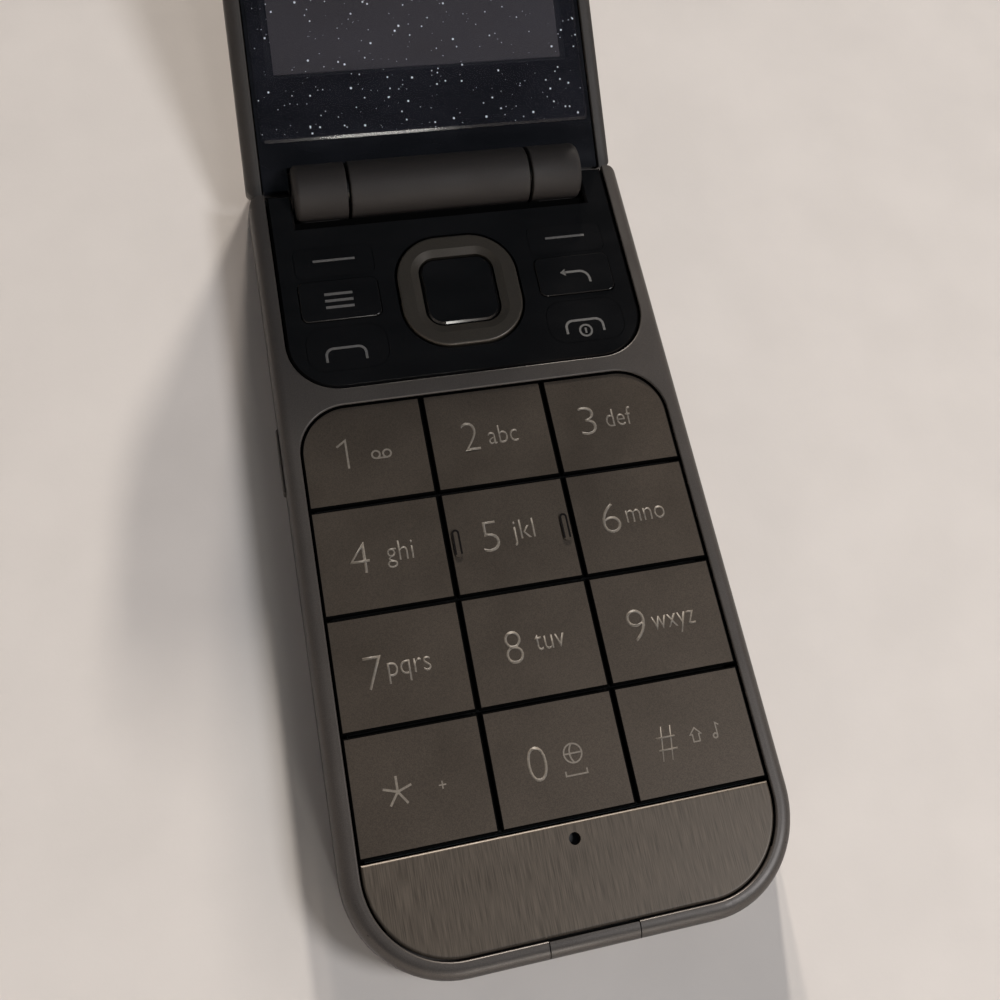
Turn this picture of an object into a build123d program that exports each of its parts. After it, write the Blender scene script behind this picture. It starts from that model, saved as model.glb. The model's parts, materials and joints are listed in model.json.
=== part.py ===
from build123d import *
from math import radians
from math import cos
from math import sin
import os

# A clamshell telephone, standing open: the base lies on its flat back and the lid leans away
# from it. Millimetres, +X to the right of the keypad, +Y towards the hinge, +Z up. The origin
# is the centre of the base's flat back.

# Both halves
body_width = 54.2
hinge_distance = 101.7          # free end of either half to the hinge axis
free_corner_radius = 12.6
hinge_corner_radius = 1.5
face_edge_round = 1.5           # edge round the inner face of either half
window_edge_round = 0.2         # edge between a rim and the window inside it
open_angle = 156.0              # lid travel from shut to open
shut_gap = 0.35                 # between the two rims when shut
fit_gap = 0.1                   # between fixed pieces that drop into each other
seam_gap = 0.05                 # between fixed pieces that stay close

# Base housing
base_height = 8.8
base_rim_width = 2.25
base_end_rim_width = 1.88       # rim at the free end
base_back_round = 2.0
base_hinge_round = 3.0
rear_cover_height = 2.4
rear_cover_wall = 1.4
rear_cover_floor = 1.1
rear_cover_setback = 9.5        # hinge axis to the rear cover's end
housing_depth = 8.1             # hinge axis to the front of the solid hinge end
rail_width = 0.85               # ledge under the face plates
chassis_ledge = 0.7
pocket_web = 0.7                # between the end pocket and the battery pocket
end_pocket_floor = 0.6

# Stack under the keys, from the chassis up
chassis_level = 5.25
chassis_thickness = 0.4
board_thickness = 0.6
dome_thickness = 0.2
dome_radius = 2.0
mat_thickness = 0.2
key_travel = 0.25
stop_gap = 0.05                 # left under a key that is fully pressed

# Number keys, three columns of four rows, below them a plain chin plate
key_recess = 0.3                # key tops below the rim
key_thickness = 1.15
groove_width = 0.45
chin_length = 11.87
chin_edge_round = 0.35
keypad_corner_radius = 6.5
key_edge_round = 0.2
stem_width = 5.0
bar_width = 2.3                 # rim between the number keys and the function plate
finger_mark_length = 3.6
finger_mark_width = 1.0
finger_mark_height = 0.2
finger_mark_inset = 1.18        # edge of the cell to the middle of the mark
microphone_hole_radius = 0.7
microphone_hole_inset = 2.1     # chin plate's keypad edge to the hole
microphone_radius = 1.55
microphone_height = 1.9

# Function plate, its keys and the navigation ring
function_length = 30.65         # front of the plate's window to the hinge axis
plate_thickness = 1.1
plate_corner_radius = 7.0
plate_bevel = 0.3
plate_end_gap = 0.2
barrel_trough = 1.6             # open space in front of the barrel
nav_offset = 12.8               # front of the function plate to the ring's centre
nav_width = 16.9
nav_corner_radius = 6.4
nav_edge_round = 0.3
nav_gap = 0.35
nav_height = 0.3                # ring above the plate
nav_lip_width = 1.1
nav_lip_depth = 0.35
nav_tilt = 1.5                  # each way, in degrees
nav_frame_width = 14.5
nav_frame_hole = 11.6
nav_frame_thickness = 0.15
select_width = 10.3
select_corner_radius = 2.3
select_bevel = 0.35
select_gap = 0.2
select_rise = 0.05
side_key_margin = 2.75          # ring to a side key, and side key to the window's side
side_key_gap = 0.1
flush_key_gap = 0.06
side_key_radius = 1.0
soft_key_length = 4.6
soft_key_offset = 6.3           # ring centre to the soft key's centre
middle_key_length = 6.1
middle_key_offset = 0.35
middle_key_rise = 0.25
call_key_length = 6.4
call_key_offset = -6.9
call_key_radius = 2.4
small_stem_radius = 1.5

# Hinge
hinge_height = 8.05             # axis above the base's back
barrel_radius = 4.13
knuckle_reach = 7.65            # split of the barrel to its end
barrel_split_gap = 0.45
barrel_side_margin = 4.0        # side of the plate's window to the barrel
barrel_edge_round = 0.2
barrel_end_round = 0.8
barrel_clearance = 0.25
barrel_side_gap = 0.3
pin_radius = 1.5
pin_fit = 0.03
pin_running_fit = 0.05
pin_end_wall = 0.9
detent_radius = 3.1
knuckle_foot_width = 5.0
knuckle_foot_length = 4.6
knuckle_foot_height = 1.8
knuckle_foot_drop = 2.0         # hinge axis down to the middle of the foot
tongue_side_margin = 1.7        # split of the barrel to the tongue's side
tongue_length = 9.4
tongue_thickness = 1.5

# Pieces in the base
battery_side_margin = 4.3       # side of the pocket to the battery
battery_room = 24.7             # length of the pocket that the battery leaves free
battery_gap = 0.2
contact_block_width = 10.0
contact_block_length = 2.2
contact_block_height = 3.2
card_socket_width = 15.0
card_socket_length = 14.0
card_socket_height = 1.4
speaker_width = 12.0
speaker_length = 15.0
speaker_height = 3.4
speaker_slot_length = 8.0
speaker_slot_width = 1.1
speaker_slot_pitch = 2.4
speaker_slot_count = 4
motor_radius = 1.9
motor_length = 9.0
port_width = 7.6
port_height = 2.9
port_length = 6.0
port_setback = 0.5
port_wall = 0.35
port_tongue_height = 0.6
bezel_width = 10.5
bezel_gap = 0.12                # seam at each side of the bezel
jack_inset = 15.6               # side of the base to the jack's middle
jack_bore_radius = 1.8
jack_bore_length = 10.4
jack_wall = 0.4
jack_body_width = 5.4
jack_body_height = 4.1
screw_head_radius = 0.9
screw_head_height = 0.5
screw_radius = 0.45
screw_hole_gap = 0.05
screw_tab_width = 3.5
screw_tab_length = 3.0
screw_tab_height = 1.2

# Keys on the sides of the base
edge_key_height = 2.2
edge_key_level = 4.55
edge_key_rise = 0.35            # above the side of the housing
edge_key_depth = 1.5            # inside the side of the housing
edge_key_gap = 0.12
edge_key_travel = 0.3
left_key_length = 8.7
left_key_offset = 38.35         # hinge axis to the left key's centre
rocker_length = 17.0
rocker_offset = 27.95           # hinge axis to the rocker's centre
rocker_tilt = 1.5               # each way, in degrees

# Lid
lid_thickness = 9.5
lid_rim_width = 2.1
lid_start = 0.35                # hinge axis to the lid's square end
lid_back_round = 3.0
lid_hinge_round = 6.5
lid_frame_height = 3.6
lid_ledge = 1.0
lid_end_block = 11.0            # hinge axis to the lid's hollow
lid_cover_wall = 1.6
lid_cover_floor = 1.3
panel_recess = 0.35
panel_thickness = 1.1
panel_gap = 0.2
glass_start = 7.8
glass_end_inset = 9.1           # free end of the lid to the glass
glass_side_margin = 0.5         # panel beside the glass
glass_recess = 0.05
glass_thickness = 0.8
bevel_width = 0.4               # sloped edges of the glass and the panel, along the face
bevel_depth = 0.2
glass_corner_radius = 0.8
glass_end_radius = 5.0
view_start = 18.1               # lit area of the main display
view_length = 56.1
view_side_margin = 2.95         # glass beside the lit area
display_border = 2.0
display_thickness = 1.8
ear_slot_inset = 6.1            # free end of the lid to the earpiece slot
ear_slot_length = 9.0
ear_slot_width = 1.3
earpiece_width = 12.0
earpiece_length = 4.4
earpiece_height = 2.2
lid_board_thickness = 0.6
lid_board_start = 14.0
lid_board_inset = 13.7          # free end of the lid to the board
outer_window_side_margin = 9.1
outer_window_start = 13.5
outer_window_inset = 25.7       # free end of the lid to the outer window
outer_window_thickness = 0.8
outer_window_radius = 6.0
outer_view_width = 26.6
outer_view_length = 21.3
outer_view_s = 51.0
outer_display_border = 2.2
outer_display_thickness = 1.6
camera_s = 24.5
camera_radius = 4.6
camera_module_radius = 3.9
camera_window_thickness = 0.7
flash_x = 10.5
flash_radius = 1.5
flash_length = 2.4
bumper_side_inset = 9.1         # side of the lid to a bumper's middle
bumper_end_inset = 1.2          # free end of the lid to a bumper's middle
bumper_radius = 0.7
bumper_rise = 0.22
bumper_depth = 0.5
lid_screw_inset = 8.0           # side of the lid's window to a near screw
lid_screw_s = 7.6
lid_screw_length = 3.4
far_screw_side_inset = 3.8      # side of the lid's hollow to a far screw
far_screw_end_inset = 7.7       # free end of the lid to a far screw
boss_radius = 1.5

# Places that follow from those sizes
hinge_y = hinge_distance / 2
free_y = -hinge_distance / 2
window_x = body_width / 2 - base_rim_width
window_y = free_y + base_end_rim_width
groove_y = window_y + chin_length
plate_front_y = hinge_y - function_length
keypad_end_y = plate_front_y - bar_width
row_pitch = (keypad_end_y - groove_y) / 4
column_pitch = 2 * window_x / 3
finger_mark_x = column_pitch / 2 - finger_mark_inset
nav_y = plate_front_y + nav_offset
side_key_low_x = nav_width / 2 + side_key_margin
side_key_high_x = window_x - side_key_margin
side_key_width = side_key_high_x - side_key_low_x
side_column_x = (side_key_low_x + side_key_high_x) / 2
cover_end_y = hinge_y - rear_cover_setback
housing_front_y = hinge_y - housing_depth
cavity_x = window_x - rail_width
pocket_x = cavity_x - chassis_ledge
pocket_y = groove_y + pocket_web / 2
pocket_end_y = cover_end_y - rear_cover_wall
end_floor_level = rear_cover_height + end_pocket_floor
end_pocket_y = window_y + rail_width
end_pocket_end_y = groove_y - pocket_web / 2
battery_width = 2 * (pocket_x - battery_side_margin)
battery_length = pocket_end_y - pocket_y - battery_room
jack_x = body_width / 2 - jack_inset
left_key_y = hinge_y - left_key_offset
rocker_y = hinge_y - rocker_offset
board_level = chassis_level + chassis_thickness
dome_level = board_level + board_thickness
mat_level = dome_level + dome_thickness
mat_top = mat_level + mat_thickness
stem_level = mat_top + key_travel + stop_gap
key_top = base_height - key_recess
key_level = key_top - key_thickness
plate_level = key_top - plate_thickness
well_level = key_level - key_travel - 2 * stop_gap
trough_y = hinge_y - barrel_radius - barrel_trough
barrel_end_x = window_x - barrel_side_margin
barrel_split_x = barrel_end_x - knuckle_reach
tongue_width = 2 * (barrel_split_x - tongue_side_margin)
cradle_radius = barrel_radius + barrel_clearance
cradle_x = barrel_end_x + barrel_side_gap
knuckle_start_x = barrel_split_x + barrel_split_gap / 2
knuckle_middle_x = (knuckle_start_x + barrel_end_x) / 2
foot_y = hinge_y - barrel_radius
foot_level = hinge_height - knuckle_foot_drop - knuckle_foot_height / 2
lid_face = shut_gap + base_height - hinge_height
lid_back = lid_face + lid_thickness
lid_seam = lid_face + lid_frame_height
panel_top = lid_face + panel_recess
panel_bottom = panel_top + panel_thickness
glass_top = lid_face + glass_recess
glass_bottom = glass_top + glass_thickness
cover_floor = lid_back - lid_cover_floor
lid_window_x = body_width / 2 - lid_rim_width
lid_window_end = hinge_distance - lid_rim_width
lid_cavity_x = lid_window_x - lid_ledge
lid_cavity_end = lid_window_end - lid_ledge
panel_x = lid_window_x - panel_gap
glass_x = panel_x - glass_side_margin
glass_end = hinge_distance - glass_end_inset
view_width = 2 * (glass_x - view_side_margin)
ear_slot_s = hinge_distance - ear_slot_inset
lid_board_end = hinge_distance - lid_board_inset
outer_window_width = body_width - 2 * outer_window_side_margin
outer_window_end = hinge_distance - outer_window_inset
bumper_x = body_width / 2 - bumper_side_inset
lid_screw_x = lid_window_x - lid_screw_inset
bumper_s = hinge_distance - bumper_end_inset
far_screw_x = lid_cavity_x - far_screw_side_inset
far_screw_s = hinge_distance - far_screw_end_inset
lid_rise = radians(180 - open_angle)
lid_plane = Plane(origin=(0, hinge_y, hinge_height), x_dir=(1, 0, 0),
                  z_dir=(0, -sin(lid_rise), cos(lid_rise)))

os.makedirs("parts", exist_ok=True)


def finish(part, name):
    """Name a finished piece and write it."""
    part.label = name
    export_step(part, f"parts/{name}.step")


def lid_level(depth):
    """Plane parallel to the lid's faces, this far behind the hinge axis."""
    return lid_plane.offset(-depth)


def panel(x_low, x_high, y_low, y_high, radius=0.0):
    """Rectangle between limits, with equal corner radii."""
    with BuildSketch() as outline:
        with Locations(((x_low + x_high) / 2, (y_low + y_high) / 2)):
            if radius > 0:
                RectangleRounded(x_high - x_low, y_high - y_low, radius)
            else:
                Rectangle(x_high - x_low, y_high - y_low)
    return outline.sketch


def slab(half_width, y_low, y_high, low_radius=0.0, high_radius=0.0):
    """Rectangle centred on x = 0, with its own corner radius at each end."""
    with BuildSketch() as outline:
        with Locations((0, (y_low + y_high) / 2)):
            Rectangle(2 * half_width, y_high - y_low)
        if low_radius > 0:
            fillet(outline.vertices().group_by(Axis.Y)[0], low_radius)
        if high_radius > 0:
            fillet(outline.vertices().group_by(Axis.Y)[-1], high_radius)
    return outline.sketch


def block(outline, low, high, plane=Plane.XY):
    """Solid over an outline, between two heights above a plane."""
    with BuildPart() as solid:
        with BuildSketch(plane.offset(low)):
            add(outline)
        extrude(amount=high - low)
    return solid.part


def lid_block(outline, shallow, deep):
    """Solid over an outline in the lid, between two depths behind the hinge axis."""
    return block(outline, -deep, -shallow, lid_plane)


def rod(radius, x_low, x_high, edge_round=0.0):
    """Cylinder on the hinge axis."""
    with BuildPart() as solid:
        with BuildSketch(Plane.YZ.offset(x_low)):
            with Locations((hinge_y, hinge_height)):
                Circle(radius)
        extrude(amount=x_high - x_low)
        if edge_round > 0:
            fillet(solid.edges().filter_by(GeomType.CIRCLE), edge_round)
    return solid.part


def window_edges(edges, plane, reach):
    """The edges on a plane that stay within reach of x = 0."""
    return [edge for edge in edges
            if abs(plane.to_local_coords(edge.center()).Z) < 0.001
            and abs(edge.center().X) < reach + 0.001]


def half_form(plane, hinge_end, free_end, height, back_round, hinge_round):
    """Outer form of one half: its back on the plane, wide corners at its free end."""
    inward = 1 if free_end > hinge_end else -1
    up = Axis(plane.origin, plane.z_dir)
    along = Axis(plane.origin, plane.y_dir * inward)
    side_plane = Plane(origin=plane.origin, x_dir=plane.y_dir, z_dir=plane.x_dir)
    half_width = body_width / 2
    with BuildPart() as form:
        with BuildSketch(plane):
            with Locations((0, (hinge_end + free_end) / 2)):
                Rectangle(body_width, abs(free_end - hinge_end))
        extrude(amount=height)
        far_edges = form.edges().filter_by(Axis((0, 0, 0), plane.z_dir)).sort_by(along)[2:]
        fillet(far_edges, free_corner_radius)
        back_edges = form.faces().sort_by(up)[0].edges().sort_by(along)[1:]
        face_edges = form.faces().sort_by(up)[-1].edges().sort_by(along)[1:]
        fillet(back_edges, back_round)
        fillet(face_edges, face_edge_round)
        with BuildSketch(plane):
            for side in (-1, 1):
                with Locations((side * (half_width - hinge_corner_radius / 2),
                                hinge_end + inward * hinge_corner_radius / 2)):
                    Rectangle(hinge_corner_radius, hinge_corner_radius)
            for side in (-1, 1):
                with Locations((side * (half_width - hinge_corner_radius),
                                hinge_end + inward * hinge_corner_radius)):
                    Circle(hinge_corner_radius, mode=Mode.SUBTRACT)
        extrude(amount=height, mode=Mode.SUBTRACT)
        with BuildSketch(side_plane):
            with Locations((hinge_end + inward * hinge_round / 2, hinge_round / 2)):
                Rectangle(hinge_round, hinge_round)
            with Locations((hinge_end + inward * hinge_round, hinge_round)):
                Circle(hinge_round, mode=Mode.SUBTRACT)
        extrude(amount=half_width, both=True, mode=Mode.SUBTRACT)
    return form.part


def screw(x, y, head_level, length, plane=Plane.XY):
    """Flat-headed screw: the head starts at head_level, and the shank goes up from it."""
    with BuildPart() as fastener:
        with BuildSketch(plane.offset(head_level)):
            with Locations((x, y)):
                Circle(screw_head_radius)
        extrude(amount=screw_head_height)
        with BuildSketch(plane.offset(head_level + screw_head_height)):
            with Locations((x, y)):
                Circle(screw_radius)
        extrude(amount=length)
    return fastener.part


base_form = half_form(Plane.XY, hinge_y, free_y, base_height, base_back_round, base_hinge_round)
lid_form = half_form(lid_level(lid_back), lid_start, hinge_distance, lid_thickness,
                     lid_back_round, lid_hinge_round)

# Places of the number keys, from the bottom row up
key_rows = [["key_star", "key_0", "key_hash"],
            ["key_7", "key_8", "key_9"],
            ["key_4", "key_5", "key_6"],
            ["key_1", "key_2", "key_3"]]
key_centres = {}
for row, names in enumerate(key_rows):
    for column, name in enumerate(names):
        key_centres[name] = ((column - 1) * column_pitch, groove_y + (row + 0.5) * row_pitch)

# Places of the keys on the function plate: side, offset from the ring, length, radius, rise
# above the plate. A key that is flush with the plate fits more closely than a raised one.
function_keys = {
    "soft_key_left": (-1, soft_key_offset, soft_key_length, side_key_radius, 0),
    "soft_key_right": (1, soft_key_offset, soft_key_length, side_key_radius, 0),
    "menu_key": (-1, middle_key_offset, middle_key_length, side_key_radius, middle_key_rise),
    "back_key": (1, middle_key_offset, middle_key_length, side_key_radius, middle_key_rise),
    "call_key": (-1, call_key_offset, call_key_length, call_key_radius, 0),
    "end_key": (1, call_key_offset, call_key_length, call_key_radius, 0),
}
function_centres = {}
function_gaps = {}
for name, (side, offset_y, length, radius, rise) in function_keys.items():
    function_centres[name] = (side * side_column_x, nav_y + offset_y)
    function_gaps[name] = side_key_gap if rise > 0 else flush_key_gap

# Screws: under the chassis, at the lid's hinge end and near its free end
tab_y_low = groove_y + pocket_web / 2 + screw_tab_length / 2
tab_y_high = pocket_end_y - screw_tab_length / 2
tab_x = pocket_x - screw_tab_width / 2
base_screws = [(side * tab_x, y) for side in (-1, 1) for y in (tab_y_low, tab_y_high)]
tab_level = chassis_level - screw_tab_height
near_screws = [(side * lid_screw_x, lid_screw_s) for side in (-1, 1)]
far_screws = [(side * far_screw_x, far_screw_s) for side in (-1, 1)]
far_tab_level = lid_seam - screw_tab_height

# Outlines that several pieces share
keypad_window = slab(window_x, window_y, keypad_end_y,
                     free_corner_radius - base_rim_width, keypad_corner_radius)
key_well = slab(window_x, groove_y, keypad_end_y, 0, keypad_corner_radius)
plate_window = slab(window_x, plate_front_y, hinge_y, plate_corner_radius)
end_pocket_radius = free_corner_radius - base_rim_width - rail_width
jack_level = end_floor_level + seam_gap + jack_body_height / 2
port_level = end_floor_level + seam_gap + port_height / 2
bezel_x = bezel_width / 2
speaker_x = pocket_x - screw_tab_width - fit_gap - speaker_width / 2
speaker_y = pocket_end_y - fit_gap - speaker_length / 2
rocker_swing = rocker_length / 2 * sin(radians(rocker_tilt))


def edge_key_pocket(side, centre_y, length, travel):
    """Recess in the side of the base for a key that goes in by its travel."""
    depth = edge_key_depth + travel + edge_key_gap
    outer = body_width / 2 + edge_key_rise
    inner = body_width / 2 - depth
    outline = panel(min(side * outer, side * inner), max(side * outer, side * inner),
                    centre_y - length / 2 - edge_key_gap, centre_y + length / 2 + edge_key_gap)
    half_height = edge_key_height / 2 + edge_key_gap
    return block(outline, edge_key_level - half_height, edge_key_level + half_height)


with BuildPart() as base_frame:
    add(base_form)
    # room for the rear cover
    with BuildSketch():
        add(panel(-body_width, body_width, 2 * free_y, cover_end_y + fit_gap))
    extrude(amount=rear_cover_height, mode=Mode.SUBTRACT)
    # windows for the chin plate, the number keys and the function plate
    with BuildSketch(Plane.XY.offset(plate_level)):
        add(keypad_window)
        add(plate_window)
    extrude(amount=base_height, mode=Mode.SUBTRACT)
    fillet(window_edges(base_frame.edges(Select.LAST), Plane.XY.offset(base_height), window_x),
           window_edge_round)
    with BuildSketch(Plane.XY.offset(well_level)):
        add(key_well)
    extrude(amount=plate_level - well_level, mode=Mode.SUBTRACT)
    # hollow for the boards, pocket for the sockets, pocket for the battery
    with BuildSketch(Plane.XY.offset(chassis_level)):
        add(slab(cavity_x, groove_y - pocket_web / 2, housing_front_y))
    extrude(amount=plate_level - chassis_level, mode=Mode.SUBTRACT)
    with BuildSketch(Plane.XY.offset(end_floor_level)):
        add(slab(cavity_x, end_pocket_y, end_pocket_end_y, end_pocket_radius))
    extrude(amount=plate_level - end_floor_level, mode=Mode.SUBTRACT)
    with BuildSketch(Plane.XY.offset(rear_cover_height)):
        add(slab(pocket_x, pocket_y, pocket_end_y))
        with Locations(*base_screws):
            Rectangle(screw_tab_width, screw_tab_length, mode=Mode.SUBTRACT)
    extrude(amount=chassis_level - rear_cover_height, mode=Mode.SUBTRACT)
    # the screw tabs stop short of the rear cover
    with BuildSketch(Plane.XY.offset(rear_cover_height)):
        with Locations(*base_screws):
            Rectangle(screw_tab_width, screw_tab_length)
    extrude(amount=tab_level - rear_cover_height, mode=Mode.SUBTRACT)
    with BuildSketch(Plane.XY.offset(tab_level)):
        with Locations(*base_screws):
            Circle(screw_radius + screw_hole_gap)
    extrude(amount=screw_tab_height, mode=Mode.SUBTRACT)
    # cradle round the hinge barrel, and slots for the feet of its outer pieces
    add(rod(cradle_radius, -cradle_x, cradle_x), mode=Mode.SUBTRACT)
    with BuildSketch(Plane.XY.offset(foot_level - seam_gap)):
        with Locations((-knuckle_middle_x, foot_y), (knuckle_middle_x, foot_y)):
            Rectangle(knuckle_foot_width + 2 * seam_gap, knuckle_foot_length + 2 * seam_gap)
    extrude(amount=knuckle_foot_height + 2 * seam_gap, mode=Mode.SUBTRACT)
    # room for the bezel of the charging port, and the hole for the headset jack
    with BuildSketch(Plane.XY.offset(rear_cover_height)):
        add(panel(-bezel_x - bezel_gap, bezel_x + bezel_gap, 2 * free_y, end_pocket_y))
    extrude(amount=base_height, mode=Mode.SUBTRACT)
    with BuildSketch(Plane.XZ.offset(-end_pocket_y)):
        with Locations((jack_x, jack_level)):
            Circle(jack_bore_radius + jack_wall + seam_gap)
    extrude(amount=base_end_rim_width + rail_width, mode=Mode.SUBTRACT)
    add(edge_key_pocket(-1, left_key_y, left_key_length, edge_key_travel), mode=Mode.SUBTRACT)
    add(edge_key_pocket(1, rocker_y, rocker_length, rocker_swing), mode=Mode.SUBTRACT)
finish(base_frame.part, "base_frame")

with BuildPart() as rear_cover:
    add(base_form)
    split(bisect_by=Plane.XY.offset(rear_cover_height), keep=Keep.BOTTOM)
    split(bisect_by=Plane.XZ.offset(-cover_end_y), keep=Keep.TOP)
    with BuildSketch(Plane.XY.offset(rear_cover_floor)):
        add(slab(body_width / 2 - rear_cover_wall, free_y + rear_cover_wall,
                 cover_end_y - rear_cover_wall, free_corner_radius - rear_cover_wall))
    extrude(amount=rear_cover_height, mode=Mode.SUBTRACT)
    with BuildSketch():
        with Locations((speaker_x, speaker_y)):
            with GridLocations(speaker_slot_pitch, 0, speaker_slot_count, 1):
                SlotOverall(speaker_slot_length, speaker_slot_width, rotation=90)
    extrude(amount=rear_cover_floor, mode=Mode.SUBTRACT)
finish(rear_cover.part, "rear_cover")

with BuildPart() as chassis_plate:
    with BuildSketch(Plane.XY.offset(chassis_level)):
        add(slab(cavity_x - fit_gap, groove_y, housing_front_y - fit_gap))
        with Locations(*base_screws):
            Circle(screw_radius + screw_hole_gap, mode=Mode.SUBTRACT)
    extrude(amount=chassis_thickness)
finish(chassis_plate.part, "chassis_plate")

board_x = cavity_x - 2 * fit_gap
with BuildPart() as main_board:
    with BuildSketch(Plane.XY.offset(board_level)):
        add(slab(board_x, groove_y + fit_gap, housing_front_y - 2 * fit_gap))
    extrude(amount=board_thickness)
finish(main_board.part, "main_board")

dome_reach = (nav_width / 2 + select_width / 2 + select_gap) / 2
nav_domes = [(0, nav_y), (dome_reach, nav_y), (-dome_reach, nav_y),
             (0, nav_y + dome_reach), (0, nav_y - dome_reach)]
with BuildPart() as metal_domes:
    with BuildSketch(Plane.XY.offset(dome_level)):
        with Locations(*key_centres.values(), *function_centres.values(), *nav_domes):
            Circle(dome_radius)
    extrude(amount=dome_thickness)
finish(metal_domes.part, "metal_domes")

with BuildPart() as key_mat:
    with BuildSketch(Plane.XY.offset(mat_level)):
        add(slab(board_x, groove_y + fit_gap, housing_front_y - 2 * fit_gap))
    extrude(amount=mat_thickness)
finish(key_mat.part, "key_mat")

with BuildPart() as chin_plate:
    with BuildSketch(Plane.XY.offset(plate_level)):
        add(slab(window_x - groove_width / 2, window_y + groove_width / 2,
                 groove_y - groove_width / 2,
                 free_corner_radius - base_rim_width - groove_width / 2))
        with Locations((0, groove_y - microphone_hole_inset)):
            Circle(microphone_hole_radius, mode=Mode.SUBTRACT)
    extrude(amount=plate_thickness)
    fillet(chin_plate.faces().sort_by(Axis.Z)[-1].outer_wire().edges(), chin_edge_round)
finish(chin_plate.part, "chin_plate")

with BuildPart() as microphone:
    with BuildSketch(Plane.XY.offset(plate_level - seam_gap - microphone_height)):
        with Locations((0, groove_y - microphone_hole_inset)):
            Circle(microphone_radius)
    extrude(amount=microphone_height)
finish(microphone.part, "microphone")

# Number keys: each fills its cell up to half a groove, and a stem reaches towards its dome
cap_well = slab(window_x - groove_width / 2, groove_y, keypad_end_y - groove_width / 2,
                0, keypad_corner_radius - groove_width / 2)
for name, (x, y) in key_centres.items():
    with BuildPart() as number_key:
        with BuildSketch(Plane.XY.offset(key_level)):
            with Locations((x, y)):
                Rectangle(column_pitch - groove_width, row_pitch - groove_width)
            add(cap_well, mode=Mode.INTERSECT)
        extrude(amount=key_thickness)
        fillet(number_key.faces().sort_by(Axis.Z)[-1].edges(), key_edge_round)
        with BuildSketch(Plane.XY.offset(stem_level)):
            with Locations((x, y)):
                Rectangle(stem_width, stem_width)
        extrude(amount=key_level - stem_level)
        if name == "key_5":
            with BuildSketch(Plane.XY.offset(key_top)):
                with Locations((x - finger_mark_x, y), (x + finger_mark_x, y)):
                    SlotOverall(finger_mark_length, finger_mark_width, rotation=90)
            extrude(amount=finger_mark_height)
    finish(number_key.part, name)

# Function plate with a hole for the ring and one for each key, notched for the barrel
nav_hole = nav_width / 2 + nav_gap
with BuildPart() as function_plate:
    with BuildSketch(Plane.XY.offset(plate_level)):
        add(slab(window_x - groove_width / 2, plate_front_y + groove_width / 2,
                 hinge_y - plate_end_gap, plate_corner_radius - groove_width / 2))
        with Locations((0, (trough_y + hinge_y) / 2)):
            Rectangle(2 * cradle_x, hinge_y - trough_y, mode=Mode.SUBTRACT)
        with Locations((0, nav_y)):
            RectangleRounded(2 * nav_hole, 2 * nav_hole, nav_corner_radius + nav_gap,
                             mode=Mode.SUBTRACT)
        for name, (side, offset_y, length, radius, rise) in function_keys.items():
            gap = function_gaps[name]
            with Locations(function_centres[name]):
                RectangleRounded(side_key_width + 2 * gap, length + 2 * gap, radius + gap,
                                 mode=Mode.SUBTRACT)
    extrude(amount=plate_thickness)
    chamfer(function_plate.faces().sort_by(Axis.Z)[-1].outer_wire().edges(), plate_bevel)
finish(function_plate.part, "function_plate")

for name, (side, offset_y, length, radius, rise) in function_keys.items():
    with BuildPart() as function_key:
        with BuildSketch(Plane.XY.offset(key_level)):
            with Locations(function_centres[name]):
                RectangleRounded(side_key_width, length, radius)
        extrude(amount=key_thickness + rise)
        if rise > 0:
            fillet(function_key.faces().sort_by(Axis.Z)[-1].edges(), key_edge_round)
        with BuildSketch(Plane.XY.offset(stem_level)):
            with Locations(function_centres[name]):
                Circle(small_stem_radius)
        extrude(amount=key_level - stem_level)
    finish(function_key.part, name)

# Navigation ring, its spring frame and the select key inside it
nav_swing = nav_frame_width / 2 * sin(radians(nav_tilt))
nav_frame_level = mat_top + nav_swing + 2 * stop_gap
ring_level = nav_frame_level + nav_frame_thickness + nav_swing + stop_gap
ring_top = key_top + nav_height
ring_hole = select_width / 2 + select_gap
with BuildPart() as nav_ring:
    with BuildSketch(Plane.XY.offset(ring_level)):
        with Locations((0, nav_y)):
            RectangleRounded(nav_width, nav_width, nav_corner_radius)
            RectangleRounded(2 * ring_hole, 2 * ring_hole, select_corner_radius + select_gap,
                             mode=Mode.SUBTRACT)
    extrude(amount=ring_top - ring_level)
    fillet(nav_ring.faces().sort_by(Axis.Z)[-1].outer_wire().edges(), nav_edge_round)
    with BuildSketch(Plane.XY.offset(ring_top - nav_lip_depth)):
        with Locations((0, nav_y)):
            RectangleRounded(2 * ring_hole, 2 * ring_hole, select_corner_radius + select_gap)
    with BuildSketch(Plane.XY.offset(ring_top)):
        with Locations((0, nav_y)):
            RectangleRounded(2 * (ring_hole + nav_lip_width), 2 * (ring_hole + nav_lip_width),
                             select_corner_radius + select_gap + nav_lip_width)
    loft(ruled=True, mode=Mode.SUBTRACT)
finish(nav_ring.part, "nav_ring")

with BuildPart() as nav_spring_frame:
    with BuildSketch(Plane.XY.offset(nav_frame_level)):
        with Locations((0, nav_y)):
            RectangleRounded(nav_frame_width, nav_frame_width, nav_corner_radius)
            RectangleRounded(nav_frame_hole, nav_frame_hole, select_corner_radius,
                             mode=Mode.SUBTRACT)
    extrude(amount=nav_frame_thickness)
finish(nav_spring_frame.part, "nav_spring_frame")

with BuildPart() as select_key:
    with BuildSketch(Plane.XY.offset(key_level)):
        with Locations((0, nav_y)):
            RectangleRounded(select_width, select_width, select_corner_radius)
    extrude(amount=key_thickness + select_rise)
    chamfer(select_key.faces().sort_by(Axis.Z)[-1].edges(), select_bevel)
    with BuildSketch(Plane.XY.offset(stem_level)):
        with Locations((0, nav_y)):
            Circle(small_stem_radius)
    extrude(amount=key_level - stem_level)
finish(select_key.part, "select_key")

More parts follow.
